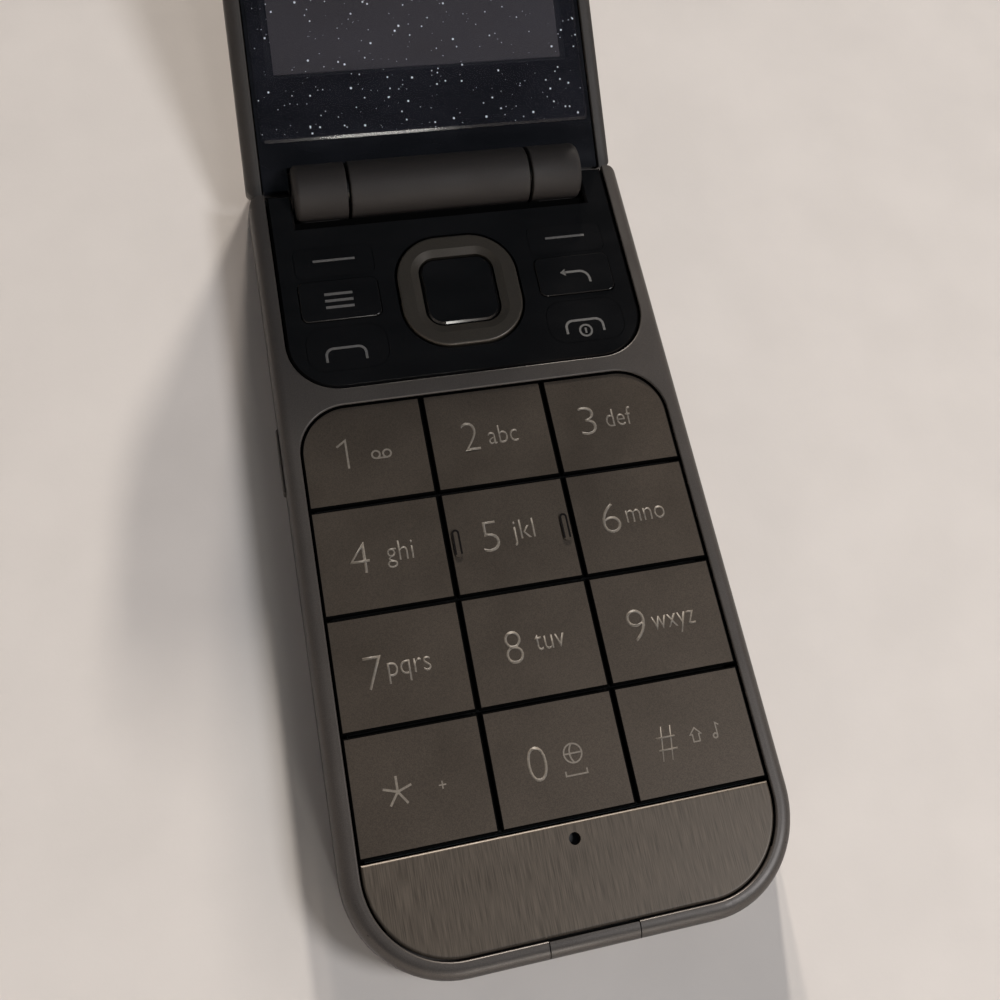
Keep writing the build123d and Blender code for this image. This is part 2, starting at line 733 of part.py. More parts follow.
# Left key and volume rocker
for name, side, centre_y, length in (("left_side_key", -1, left_key_y, left_key_length),
                                     ("volume_rocker", 1, rocker_y, rocker_length)):
    outer_x = side * (body_width / 2 + edge_key_rise)
    inner_x = side * (body_width / 2 - edge_key_depth)
    with BuildPart() as edge_key:
        with BuildSketch(Plane.XY.offset(edge_key_level - edge_key_height / 2)):
            add(panel(min(outer_x, inner_x), max(outer_x, inner_x),
                      centre_y - length / 2, centre_y + length / 2))
        extrude(amount=edge_key_height)
        outer_face = edge_key.faces().sort_by(Axis.X)[-1 if side > 0 else 0]
        fillet(outer_face.edges(), edge_key_rise * 0.8)
    finish(edge_key.part, name)

# Sockets at the free end
port_y = free_y + port_setback
with BuildPart() as charging_port:
    with BuildSketch(Plane.XZ.offset(-port_y)):
        with Locations((0, port_level)):
            RectangleRounded(port_width, port_height, port_wall * 2)
    extrude(amount=-port_length)
    with BuildSketch(Plane.XZ.offset(-port_y)):
        with Locations((0, port_level)):
            RectangleRounded(port_width - 2 * port_wall, port_height - 2 * port_wall, port_wall)
            Rectangle(port_width - 6 * port_wall, port_tongue_height, mode=Mode.SUBTRACT)
    extrude(amount=-(port_length - port_wall), mode=Mode.SUBTRACT)
finish(charging_port.part, "charging_port")

with BuildPart() as port_bezel:
    add(base_form)
    split(bisect_by=Plane.XZ.offset(-(window_y - fit_gap)), keep=Keep.TOP)
    split(bisect_by=Plane.YZ.offset(bezel_x), keep=Keep.BOTTOM)
    split(bisect_by=Plane.YZ.offset(-bezel_x), keep=Keep.TOP)
    split(bisect_by=Plane.XY.offset(rear_cover_height), keep=Keep.TOP)
    # a ledge goes in under the chin plate
    with BuildSketch(Plane.XY.offset(rear_cover_height)):
        add(panel(-bezel_x, bezel_x, window_y - fit_gap, end_pocket_y - seam_gap))
    extrude(amount=plate_level - seam_gap - rear_cover_height)
    with BuildSketch(Plane.XZ.offset(-end_pocket_y)):
        with Locations((0, port_level)):
            RectangleRounded(port_width + 2 * fit_gap, port_height + 2 * fit_gap,
                             port_wall * 2 + fit_gap)
    extrude(amount=2 * (base_end_rim_width + rail_width), mode=Mode.SUBTRACT)
finish(port_bezel.part, "port_bezel")

jack_y = free_y + seam_gap
jack_body_y = end_pocket_y + seam_gap
with BuildPart() as headset_jack:
    with BuildSketch(Plane.XZ.offset(-jack_body_y)):
        with Locations((jack_x, jack_level)):
            Rectangle(jack_body_width, jack_body_height)
    extrude(amount=-(end_pocket_end_y - fit_gap - jack_body_y))
    with BuildSketch(Plane.XZ.offset(-jack_body_y)):
        with Locations((jack_x, jack_level)):
            Circle(jack_bore_radius + jack_wall)
    extrude(amount=jack_body_y - jack_y)
    with BuildSketch(Plane.XZ.offset(-jack_y)):
        with Locations((jack_x, jack_level)):
            Circle(jack_bore_radius)
    extrude(amount=-jack_bore_length, mode=Mode.SUBTRACT)
finish(headset_jack.part, "headset_jack")

# Battery and the pieces that hang under the chassis
battery_low = rear_cover_floor + battery_gap
battery_top = chassis_level - battery_gap
battery_y = pocket_y + screw_tab_length + 2 * fit_gap
with BuildPart() as battery:
    with BuildSketch(Plane.XY.offset(battery_low)):
        add(panel(-battery_width / 2, battery_width / 2, battery_y,
                  battery_y + battery_length, 1.2))
    extrude(amount=battery_top - battery_low)
finish(battery.part, "battery")

contact_y = battery_y + battery_length + battery_gap
with BuildPart() as battery_contacts:
    with BuildSketch(Plane.XY.offset(chassis_level - contact_block_height)):
        add(panel(-contact_block_width / 2, contact_block_width / 2,
                  contact_y, contact_y + contact_block_length))
    extrude(amount=contact_block_height)
finish(battery_contacts.part, "battery_contacts")

card_x = -(pocket_x - screw_tab_width - fit_gap)
with BuildPart() as card_socket:
    with BuildSketch(Plane.XY.offset(chassis_level - card_socket_height)):
        add(panel(card_x, card_x + card_socket_width,
                  pocket_end_y - fit_gap - card_socket_length, pocket_end_y - fit_gap))
    extrude(amount=card_socket_height)
finish(card_socket.part, "card_socket")

with BuildPart() as loudspeaker:
    with BuildSketch(Plane.XY.offset(chassis_level - speaker_height)):
        with Locations((speaker_x, speaker_y)):
            RectangleRounded(speaker_width, speaker_length, speaker_width / 4)
    extrude(amount=speaker_height)
finish(loudspeaker.part, "loudspeaker")

motor_x = card_x + card_socket_width + fit_gap + motor_radius
with BuildPart() as vibration_motor:
    with BuildSketch(Plane.XZ.offset(-(pocket_end_y - fit_gap))):
        with Locations((motor_x, chassis_level - seam_gap - motor_radius)):
            Circle(motor_radius)
    extrude(amount=motor_length)
finish(vibration_motor.part, "vibration_motor")

with BuildPart() as housing_screws:
    for x, y in base_screws:
        add(screw(x, y, tab_level - screw_head_height, screw_tab_height + chassis_thickness))
finish(housing_screws.part, "housing_screws")

# Outer pieces of the hinge barrel, fixed to the base
pin_end_x = barrel_end_x - pin_end_wall
for name, side in (("knuckle_left", -1), ("knuckle_right", 1)):
    x_low = min(side * knuckle_start_x, side * barrel_end_x)
    x_high = max(side * knuckle_start_x, side * barrel_end_x)
    pin_low = min(side * knuckle_start_x, side * pin_end_x)
    pin_high = max(side * knuckle_start_x, side * pin_end_x)
    with BuildPart() as knuckle:
        add(rod(barrel_radius, x_low, x_high))
        outer, inner = (-1, 0) if side > 0 else (0, -1)
        fillet(knuckle.edges().filter_by(GeomType.CIRCLE).sort_by(Axis.X)[outer], barrel_end_round)
        fillet(knuckle.edges().filter_by(GeomType.CIRCLE).sort_by(Axis.X)[inner], barrel_edge_round)
        with BuildSketch(Plane.XY.offset(foot_level)):
            with Locations((side * knuckle_middle_x, foot_y)):
                Rectangle(knuckle_foot_width, knuckle_foot_length)
        extrude(amount=knuckle_foot_height)
        bore_radius = pin_radius + pin_fit
        if side > 0:
            bore_radius = detent_radius + pin_fit
        add(rod(bore_radius, pin_low, pin_high), mode=Mode.SUBTRACT)
    finish(knuckle.part, name)

with BuildPart() as hinge_detent:
    add(rod(detent_radius, knuckle_start_x, pin_end_x - seam_gap))
    add(rod(pin_radius + pin_fit, knuckle_start_x, pin_end_x), mode=Mode.SUBTRACT)
finish(hinge_detent.part, "hinge_detent")

with BuildPart() as hinge_pin:
    add(rod(pin_radius, -pin_end_x + seam_gap, pin_end_x - seam_gap))
finish(hinge_pin.part, "hinge_pin")

# Middle piece of the barrel, fixed to the lid by a tongue under the inner panel
barrel_x = barrel_split_x - barrel_split_gap / 2
tongue_top = panel_bottom + seam_gap
with BuildPart() as hinge_barrel:
    add(rod(barrel_radius, -barrel_x, barrel_x, barrel_edge_round))
    add(lid_block(slab(tongue_width / 2, pin_radius, tongue_length),
                  tongue_top, tongue_top + tongue_thickness))
    add(rod(pin_radius + pin_running_fit, -barrel_x, barrel_x), mode=Mode.SUBTRACT)
finish(hinge_barrel.part, "hinge_barrel")

# Lid frame: the rim round the inner panel, with the ledge that carries it
panel_window = slab(lid_window_x, 0, lid_window_end, 0, free_corner_radius - lid_rim_width)
lid_hollow = slab(lid_cavity_x, lid_end_block, lid_cavity_end, 0,
                  free_corner_radius - lid_rim_width - lid_ledge)
with BuildPart() as lid_frame:
    add(lid_form)
    split(bisect_by=lid_level(lid_seam), keep=Keep.TOP)
    add(lid_block(panel_window, 0, panel_bottom), mode=Mode.SUBTRACT)
    fillet(window_edges(lid_frame.edges(Select.LAST), lid_level(lid_face), lid_window_x),
           window_edge_round)
    add(lid_block(lid_hollow, panel_bottom, lid_seam), mode=Mode.SUBTRACT)
    add(rod(cradle_radius, -cradle_x, cradle_x), mode=Mode.SUBTRACT)
    add(lid_block(slab(tongue_width / 2 + seam_gap, 0, tongue_length + seam_gap),
                  panel_bottom, tongue_top + tongue_thickness + seam_gap), mode=Mode.SUBTRACT)
    with BuildSketch(lid_level(lid_seam)):
        for side in (-1, 1):
            add(panel(min(side * lid_cavity_x, side * (far_screw_x - boss_radius)),
                      max(side * lid_cavity_x, side * (far_screw_x - boss_radius)),
                      far_screw_s - boss_radius, far_screw_s + boss_radius))
    extrude(amount=screw_tab_height)
    with BuildSketch(lid_level(lid_seam)):
        with Locations(*near_screws, *far_screws):
            Circle(screw_radius + screw_hole_gap)
    extrude(amount=lid_frame_height, mode=Mode.SUBTRACT)
    with BuildSketch(lid_level(panel_bottom + screw_head_height + screw_hole_gap)):
        with Locations(*near_screws):
            Circle(screw_head_radius + screw_hole_gap)
    extrude(amount=screw_head_height + screw_hole_gap, mode=Mode.SUBTRACT)
    with BuildSketch(lid_level(lid_face + bumper_depth)):
        with Locations((-bumper_x, bumper_s), (bumper_x, bumper_s)):
            Circle(bumper_radius)
    extrude(amount=bumper_depth, mode=Mode.SUBTRACT)
finish(lid_frame.part, "lid_frame")

with BuildPart() as lid_bumpers:
    with BuildSketch(lid_level(lid_face + bumper_depth)):
        with Locations((-bumper_x, bumper_s), (bumper_x, bumper_s)):
            Circle(bumper_radius)
    extrude(amount=bumper_depth + bumper_rise)
finish(lid_bumpers.part, "lid_bumpers")

# Inner panel with the recess for the glass, the display opening and the earpiece slot
glass_outline = slab(glass_x, glass_start, glass_end, glass_corner_radius, glass_end_radius)
glass_pocket = slab(glass_x + seam_gap, glass_start - seam_gap, glass_end + seam_gap,
                    glass_corner_radius + seam_gap, glass_end_radius + seam_gap)
view_opening = slab(view_width / 2 + display_border / 2, view_start - display_border / 2,
                    view_start + view_length + display_border / 2)
with BuildPart() as lid_panel:
    add(lid_block(slab(panel_x, lid_start + panel_gap, lid_window_end - panel_gap, 0,
                       free_corner_radius - lid_rim_width - panel_gap),
                  panel_top, panel_bottom))
    add(rod(cradle_radius, -cradle_x, cradle_x), mode=Mode.SUBTRACT)
    cradle_edges = lid_panel.edges(Select.LAST).filter_by(Axis.X)
    chamfer(cradle_edges.sort_by(Axis(lid_plane.origin, lid_plane.z_dir))[-1], bevel_width, bevel_depth,
            reference=lid_panel.faces().sort_by(Axis(lid_plane.origin, lid_plane.z_dir))[-1])
    add(lid_block(glass_pocket, panel_top - 1, glass_bottom), mode=Mode.SUBTRACT)
    add(lid_block(view_opening, panel_top, panel_bottom), mode=Mode.SUBTRACT)
    with BuildSketch(lid_level(panel_bottom)):
        with Locations((0, ear_slot_s)):
            SlotOverall(ear_slot_length, ear_slot_width)
    extrude(amount=panel_thickness, mode=Mode.SUBTRACT)
finish(lid_panel.part, "lid_panel")

with BuildPart() as display_glass:
    add(lid_block(glass_outline, glass_top, glass_bottom))
    top_face = display_glass.faces().sort_by(Axis(lid_plane.origin, lid_plane.z_dir))[-1]
    chamfer(top_face.edges(), bevel_width, bevel_depth, reference=top_face)
finish(display_glass.part, "display_glass")

display_top = panel_bottom + seam_gap
display_bottom = display_top + display_thickness
with BuildPart() as main_display:
    add(lid_block(slab(view_width / 2 + display_border, view_start - display_border,
                       view_start + view_length + display_border), display_top, display_bottom))
finish(main_display.part, "main_display")

with BuildPart() as earpiece:
    add(lid_block(panel(-earpiece_width / 2, earpiece_width / 2,
                        ear_slot_s - earpiece_length / 2, ear_slot_s + earpiece_length / 2, 1.0),
                  panel_bottom + seam_gap, panel_bottom + seam_gap + earpiece_height))
finish(earpiece.part, "earpiece")

board_top = display_bottom + seam_gap
board_bottom = board_top + lid_board_thickness
with BuildPart() as lid_board:
    add(lid_block(slab(lid_cavity_x - fit_gap, lid_board_start, lid_board_end),
                  board_top, board_bottom))
finish(lid_board.part, "lid_board")

# Lid cover: the outer shell, with bosses for the screws and a recess for the outer window
window_top = lid_back - outer_window_thickness
with BuildPart() as lid_cover:
    add(lid_form)
    split(bisect_by=lid_level(lid_seam), keep=Keep.BOTTOM)
    add(lid_block(slab(body_width / 2 - lid_cover_wall, lid_end_block,
                       hinge_distance - lid_cover_wall, 0, free_corner_radius - lid_cover_wall),
                  lid_seam, cover_floor), mode=Mode.SUBTRACT)
    add(rod(cradle_radius, -cradle_x, cradle_x), mode=Mode.SUBTRACT)
    with BuildSketch(lid_level(cover_floor)):
        with Locations(*far_screws):
            Circle(boss_radius)
    extrude(amount=cover_floor - lid_seam)
    with BuildSketch(lid_level(lid_seam + lid_screw_length)):
        with Locations(*near_screws, *far_screws):
            Circle(screw_radius + screw_hole_gap / 2)
    extrude(amount=lid_screw_length, mode=Mode.SUBTRACT)
    add(lid_block(slab(outer_window_width / 2 + seam_gap, outer_window_start - seam_gap,
                       outer_window_end + seam_gap, outer_window_radius, outer_window_radius),
                  window_top, lid_back), mode=Mode.SUBTRACT)
    add(lid_block(panel(-outer_view_width / 2, outer_view_width / 2,
                        outer_view_s - outer_view_length / 2,
                        outer_view_s + outer_view_length / 2), cover_floor - 1, lid_back),
        mode=Mode.SUBTRACT)
    with BuildSketch(lid_level(lid_back)):
        with Locations((0, camera_s)):
            Circle(camera_module_radius + fit_gap)
        with Locations((flash_x, camera_s)):
            Circle(flash_radius + seam_gap)
    extrude(amount=2 * lid_cover_floor, mode=Mode.SUBTRACT)
finish(lid_cover.part, "lid_cover")

with BuildPart() as outer_window:
    with BuildSketch(lid_level(lid_back)):
        add(slab(outer_window_width / 2, outer_window_start, outer_window_end,
                 outer_window_radius, outer_window_radius))
        with Locations((0, camera_s)):
            Circle(camera_radius + seam_gap, mode=Mode.SUBTRACT)
        with Locations((flash_x, camera_s)):
            Circle(flash_radius + seam_gap, mode=Mode.SUBTRACT)
    extrude(amount=outer_window_thickness)
finish(outer_window.part, "outer_window")

with BuildPart() as outer_display:
    add(lid_block(panel(-outer_view_width / 2 - outer_display_border,
                        outer_view_width / 2 + outer_display_border,
                        outer_view_s - outer_view_length / 2 - outer_display_border,
                        outer_view_s + outer_view_length / 2 + outer_display_border),
                  cover_floor - outer_display_thickness - seam_gap, cover_floor - seam_gap))
finish(outer_display.part, "outer_display")

camera_window_top = lid_back - camera_window_thickness
with BuildPart() as camera_module:
    with BuildSketch(lid_level(camera_window_top - seam_gap)):
        with Locations((0, camera_s)):
            Circle(camera_module_radius)
    extrude(amount=camera_window_top - seam_gap - board_bottom - seam_gap)
finish(camera_module.part, "camera_module")

with BuildPart() as camera_window:
    with BuildSketch(lid_level(lid_back)):
        with Locations((0, camera_s)):
            Circle(camera_radius)
    extrude(amount=camera_window_thickness)
finish(camera_window.part, "camera_window")

with BuildPart() as flash_lamp:
    with BuildSketch(lid_level(lid_back)):
        with Locations((flash_x, camera_s)):
            Circle(flash_radius)
    extrude(amount=flash_length)
finish(flash_lamp.part, "flash_lamp")

# Lid screws: their heads are near the inner face and their shanks point to the cover
screw_plane = Plane(origin=lid_plane.origin, x_dir=lid_plane.x_dir, z_dir=-lid_plane.z_dir)
with BuildPart() as lid_screws:
    for x, s in near_screws:
        add(screw(x, -s, panel_bottom + screw_hole_gap,
                  lid_seam - panel_bottom - screw_head_height + lid_screw_length / 2, screw_plane))
    for x, s in far_screws:
        add(screw(x, -s, far_tab_level - screw_head_height,
                  screw_tab_height + lid_screw_length / 2, screw_plane))
finish(lid_screws.part, "lid_screws")
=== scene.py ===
import json
from math import cos
from math import pi
from math import radians
from math import sin

import bmesh
import bpy
from mathutils import Matrix
from mathutils import Vector

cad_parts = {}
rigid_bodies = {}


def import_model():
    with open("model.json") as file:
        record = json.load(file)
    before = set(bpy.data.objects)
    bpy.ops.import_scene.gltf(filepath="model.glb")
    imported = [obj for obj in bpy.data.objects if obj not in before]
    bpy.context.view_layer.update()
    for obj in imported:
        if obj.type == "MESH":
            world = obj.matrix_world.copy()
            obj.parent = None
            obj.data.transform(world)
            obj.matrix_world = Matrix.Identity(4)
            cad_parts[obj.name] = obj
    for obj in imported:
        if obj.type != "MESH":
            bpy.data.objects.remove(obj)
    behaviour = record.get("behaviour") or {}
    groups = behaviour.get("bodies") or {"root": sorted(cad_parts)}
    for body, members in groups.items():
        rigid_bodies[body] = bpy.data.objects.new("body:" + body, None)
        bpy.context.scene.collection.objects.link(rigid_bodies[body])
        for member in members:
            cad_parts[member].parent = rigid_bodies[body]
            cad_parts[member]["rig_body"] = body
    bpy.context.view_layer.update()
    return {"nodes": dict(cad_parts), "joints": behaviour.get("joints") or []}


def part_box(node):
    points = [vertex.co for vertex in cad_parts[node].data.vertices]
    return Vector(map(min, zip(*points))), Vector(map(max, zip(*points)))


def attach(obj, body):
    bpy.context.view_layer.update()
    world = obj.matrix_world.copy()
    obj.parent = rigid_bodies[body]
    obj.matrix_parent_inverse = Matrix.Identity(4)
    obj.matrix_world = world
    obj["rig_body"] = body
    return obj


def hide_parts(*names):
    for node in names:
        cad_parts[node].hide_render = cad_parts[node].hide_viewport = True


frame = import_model()

bl_info = {
    "name": "Flip phone",
    "version": (1, 0, 0),
    "blender": (4, 5, 0),
    "location": "3D View > Sidebar > Flip phone",
    "description": "Finishes, printed marks and small parts of a clamshell telephone",
    "category": "Object",
}

mm = 0.001
# A coordinate past every side of the phone, in metres
beyond = 1.0
# Factors at which a value in a material starts and stops to change
spread_start = 0.3
spread_end = 0.7

# The lid's own plane: x across it, y from the hinge to its free end, z out of its inner face
lid_joint = next(joint for joint in frame["joints"] if joint["name"] == "lid_hinge")
lid_rise = radians(180 - lid_joint["range_deg"][1])
lid_place = Matrix.Translation(lid_joint["pos_m"]) @ Matrix.Rotation(lid_rise, 4, "X")

# Digits and letters on the number keys: the characters, their left and right side, their base line.
# Millimetres from the key's centre.
digit_marks = {
    "key_2": ("2", -3.8, -1.6, -1.85),
    "key_3": ("3", -4.25, -2.05, -1.85),
    "key_4": ("4", -4.15, -1.65, -2.0),
    "key_5": ("5", -3.8, -1.6, -1.75),
    "key_6": ("6", -4.45, -2.0, -1.8),
    "key_7": ("7", -4.4, -2.15, -2.3),
    "key_8": ("8", -3.7, -1.5, -2.2),
    "key_9": ("9", -4.45, -2.05, -2.15),
    "key_0": ("0", -3.8, -1.4, -2.25),
    "key_hash": ("#", -4.3, -1.9, -2.35),
}
letter_marks = {
    "key_2": ("abc", -0.4, 3.6, -1.25),
    "key_3": ("def", -0.65, 3.05, -1.1),
    "key_4": ("ghi", 0.45, 3.9, -0.95),
    "key_5": ("jkl", 0.2, 3.1, -0.65),
    "key_6": ("mno", -1.15, 4.15, -0.75),
    "key_7": ("pqrs", -1.6, 3.65, -1.05),
    "key_8": ("tuv", 0.1, 3.9, -1.05),
    "key_9": ("wxyz", -1.25, 4.45, -1.05),
}
# Heights of a 1 and of an x, how far a stroke lies above the one before it, and the distance within
# which corners are joined
digit_height = 4.0
letter_height = 1.66
stroke_lift = 0.002
weld_distance = 0.001
number_keys = ["key_1", *digit_marks, "key_star"]
function_keys = ["soft_key_left", "soft_key_right", "menu_key", "back_key", "call_key", "end_key"]

# Painted shade in the frame's recesses and on the sides of the number keys: its tone, the specular
# level of the paint that it lacks, and where it shows, in millimetres. In the base frame it is between
# two sides, from a line near the free end to a little short of the far end, and below the top edge.
# On the number keys it starts just under the top face, so the grooves between the keys read dark.
painted_shade_tone = (0.004, 0.004, 0.004)
paint_shine = 0.5
well_half_width = 24.86
well_free_end = -44.5
well_far_inset = 1.0
well_edge_depth = 0.3
key_skin = 0.0005
# A Mix node has a pair of inputs and an output for each kind of data, and a Random Value node has an
# output for each. These are the ones in use, by number, because their names are alike.
mix_first = 6
mix_second = 7
mix_result = 2
random_vector = 0
random_number = 1

# Display glass and the picture under it, in millimetres in the lid's own plane
glass_half_width = 24.0
glass_start = 8.3
glass_end = 92.0
glass_level = -1.12
picture_low = (-21.35, 17.7, -2.5)
picture_high = (21.35, 74.2, -2.1)
picture_edge = 0.05
# Dust: how flat the specks are, the power that makes large ones rare, the smallest one as a share of
# the radius, and the seed of the draws
dust_flatness = 0.2
dust_rarity = 2.5
dust_smallest = 0.22
dust_seed = 7

# Floor in metres: radius of its first ring, where it starts to curve up, how round, and its top
floor_middle = 0.3
floor_flat = 1.0
floor_curve = 0.5
floor_top = 0.8
# Area lamps: place, width and height in metres, power in watts, colour
area_lamps = {
    "main_lamp": ((0.42, -0.24, 0.64), (0.21, 0.21), 2.95, (0.96, 0.97, 1.0)),
    "front_lamp": ((0.14, -0.90, 0.395), (0.117, 0.2), 1.6, (1.0, 0.97, 0.92)),
}
# Suns: place that they shine from, angle that they fill in degrees, strength, colour
suns = {
    "back_sun": ((0.20, 1.19, 0.364), 2.35, 3.1, (1.0, 0.93, 0.84)),
    "low_back_sun": ((0.085, 1.22, 0.305), 2.8, 2.3, (1.0, 0.88, 0.78)),
}
room_colour = (0.72, 0.86, 1.0)
room_strength = 0.08
# Camera fitted to the photo: lens and sensor in millimetres, place in metres, turns in degrees
focal_length = 43.386
sensor_width = 36
camera_shift = -0.15
nearest_view = 0.01
camera_place = (-0.031894, -0.042081, 0.155084)
camera_turns = (25.570, -8.520, -11.457)


class FlipPhoneColours(bpy.types.PropertyGroup):
    """Colours of the outside."""
    paint: bpy.props.FloatVectorProperty(
        name="Housing paint", description="Satin metallic paint of the housing and the lid",
        subtype="COLOR", size=3, min=0, max=1, default=(0.066, 0.058, 0.053))
    keys: bpy.props.FloatVectorProperty(
        name="Number keys", description="Satin paint of the number keys",
        subtype="COLOR", size=3, min=0, max=1, default=(0.068, 0.054, 0.042))
    chin: bpy.props.FloatVectorProperty(
        name="Chin plate", description="Brushed plate below the keys",
        subtype="COLOR", size=3, min=0, max=1, default=(0.078, 0.063, 0.049))
    barrel: bpy.props.FloatVectorProperty(
        name="Hinge barrel", description="Satin paint of the hinge barrel",
        subtype="COLOR", size=3, min=0, max=1, default=(0.019, 0.0155, 0.014))
    ring: bpy.props.FloatVectorProperty(
        name="Navigation ring", description="Satin ring round the select key",
        subtype="COLOR", size=3, min=0, max=1, default=(0.055, 0.047, 0.038))
    gloss: bpy.props.FloatVectorProperty(
        name="Gloss plates", description="Polished near-black plates and keys",
        subtype="COLOR", size=3, min=0, max=1, default=(0.0042, 0.0040, 0.0042))
    panel: bpy.props.FloatVectorProperty(
        name="Lid panel", description="Polished blue-black panel round the display glass",
        subtype="COLOR", size=3, min=0, max=1, default=(0.0062, 0.0064, 0.0082))
    glass: bpy.props.FloatVectorProperty(
        name="Display glass", description="Tint of the glass over the main display",
        subtype="COLOR", size=3, min=0, max=1, default=(0.018, 0.0185, 0.025))
    marks: bpy.props.FloatVectorProperty(
        name="Printed marks", description="Digits, letters and signs on the number keys",
        subtype="COLOR", size=3, min=0, max=1, default=(0.17, 0.148, 0.122))
    signs: bpy.props.FloatVectorProperty(
        name="Printed signs", description="Signs on the keys of the function plate",
        subtype="COLOR", size=3, min=0, max=1, default=(0.125, 0.12, 0.115))
    screen: bpy.props.FloatVectorProperty(
        name="Dark display", description="A display that is switched off",
        subtype="COLOR", size=3, min=0, max=1, default=(0.31, 0.285, 0.31))
    floor: bpy.props.FloatVectorProperty(
        name="Floor", description="Pale floor of the studio",
        subtype="COLOR", size=3, min=0, max=1, default=(0.63, 0.595, 0.57))


class FlipPhoneSizes(bpy.types.PropertyGroup):
    """Sizes of what is added to the solids."""
    mark_thickness: bpy.props.FloatProperty(
        name="Mark thickness", description="Height of the printed marks above a key",
        unit="LENGTH", default=0.02 * mm, min=0)
    line_width: bpy.props.FloatProperty(
        name="Line width", description="Width of the lines of the drawn signs",
        unit="LENGTH", default=0.34 * mm, min=0)
    digit_thinning: bpy.props.FloatProperty(
        name="Digit thinning", description="How much thinner the digits are than the font's own",
        default=0.018, min=0, max=0.04)
    letter_thinning: bpy.props.FloatProperty(
        name="Letter thinning", description="How much thinner the letters are than the font's own",
        default=0.006, min=0, max=0.04)
    dust_density: bpy.props.FloatProperty(
        name="Dust density", description="Specks on a square millimetre of the glass",
        default=0.30, min=0)
    dust_radius: bpy.props.FloatProperty(
        name="Dust radius", description="Specks have 0.22 to 1.22 times this radius",
        unit="LENGTH", default=0.155 * mm, min=0)
    wire_radius: bpy.props.FloatProperty(
        name="Wire radius", description="Radius of the wires of the sound meshes",
        unit="LENGTH", default=0.05 * mm, min=0)
    wire_pitch: bpy.props.FloatProperty(
        name="Wire pitch", description="Distance between the wires of the sound meshes",
        unit="LENGTH", default=0.25 * mm, min=0)


def shader_tree(name):
    """New material: its node tree, its shader and the piece's own coordinates."""
    material = bpy.data.materials.new(name)
    material.use_nodes = True
    tree = material.node_tree
    shader = tree.nodes["Principled BSDF"]
    place = tree.nodes.new("ShaderNodeTexCoord").outputs["Object"]
    return material, tree, shader, place


def grain(tree, place, scale, detail, stretch=(1, 1, 1)):
    """Noise over the piece, finer along the axes where the stretch is larger."""
    mapping = tree.nodes.new("ShaderNodeMapping")
    mapping.inputs["Scale"].default_value = stretch
    noise = tree.nodes.new("ShaderNodeTexNoise")
    noise.inputs["Scale"].default_value = scale
    noise.inputs["Detail"].default_value = detail
    tree.links.new(place, mapping.inputs["Vector"])
    tree.links.new(mapping.outputs["Vector"], noise.inputs["Vector"])
    return noise.outputs["Fac"]


def colour_between(tree, factor, dark, light, low=0.35, high=0.65):
    """Colour that goes from dark to light with the factor."""
    ramp = tree.nodes.new("ShaderNodeValToRGB")
    ramp.color_ramp.elements[0].position = low
    ramp.color_ramp.elements[0].color = (*dark, 1)
    ramp.color_ramp.elements[1].position = high
    ramp.color_ramp.elements[1].color = (*light, 1)
    tree.links.new(factor, ramp.inputs["Fac"])
    return ramp.outputs["Color"]


def value_between(tree, factor, low, high):
    """Value that goes from low to high with the factor."""
    spread = tree.nodes.new("ShaderNodeMapRange")
    spread.inputs["From Min"].default_value = spread_start
    spread.inputs["From Max"].default_value = spread_end
    spread.inputs["To Min"].default_value = low
    spread.inputs["To Max"].default_value = high
    tree.links.new(factor, spread.inputs["Value"])
    return spread.outputs["Result"]


def relief(tree, shader, height, strength, distance):
    """Small bumps on the surface."""
    bump = tree.nodes.new("ShaderNodeBump")
    bump.inputs["Strength"].default_value = strength
    bump.inputs["Distance"].default_value = distance
    tree.links.new(height, bump.inputs["Height"])
    tree.links.new(bump.outputs["Normal"], shader.inputs["Normal"])


def scaled(colour, share):
    """A darker or lighter tone of a colour."""
    return tuple(min(1.0, channel * share) for channel in colour)


def satin_paint(name, colour, rough=0.42, metal=0.35):
    """Metallic paint with fine flakes, and tones that drift a little."""
    material, tree, shader, place = shader_tree(name)
    flakes = grain(tree, place, scale=9000, detail=2.0)
    drift = grain(tree, place, scale=120, detail=3.0)
    tone = colour_between(tree, flakes, scaled(colour, 0.82), scaled(colour, 1.2))
    tree.links.new(tone, shader.inputs["Base Color"])
    tree.links.new(value_between(tree, drift, rough - 0.05, rough + 0.06), shader.inputs["Roughness"])
    shader.inputs["Metallic"].default_value = metal
    relief(tree, shader, flakes, strength=0.12, distance=0.02 * mm)
    return material


def calculate(tree, operation, first, second):
    """Math node on a socket and a number or a second socket."""
    node = tree.nodes.new("ShaderNodeMath")
    node.operation = operation
    tree.links.new(first, node.inputs[0])
    if isinstance(second, float):
        node.inputs[1].default_value = second
    else:
        tree.links.new(second, node.inputs[1])
    return node.outputs[0]


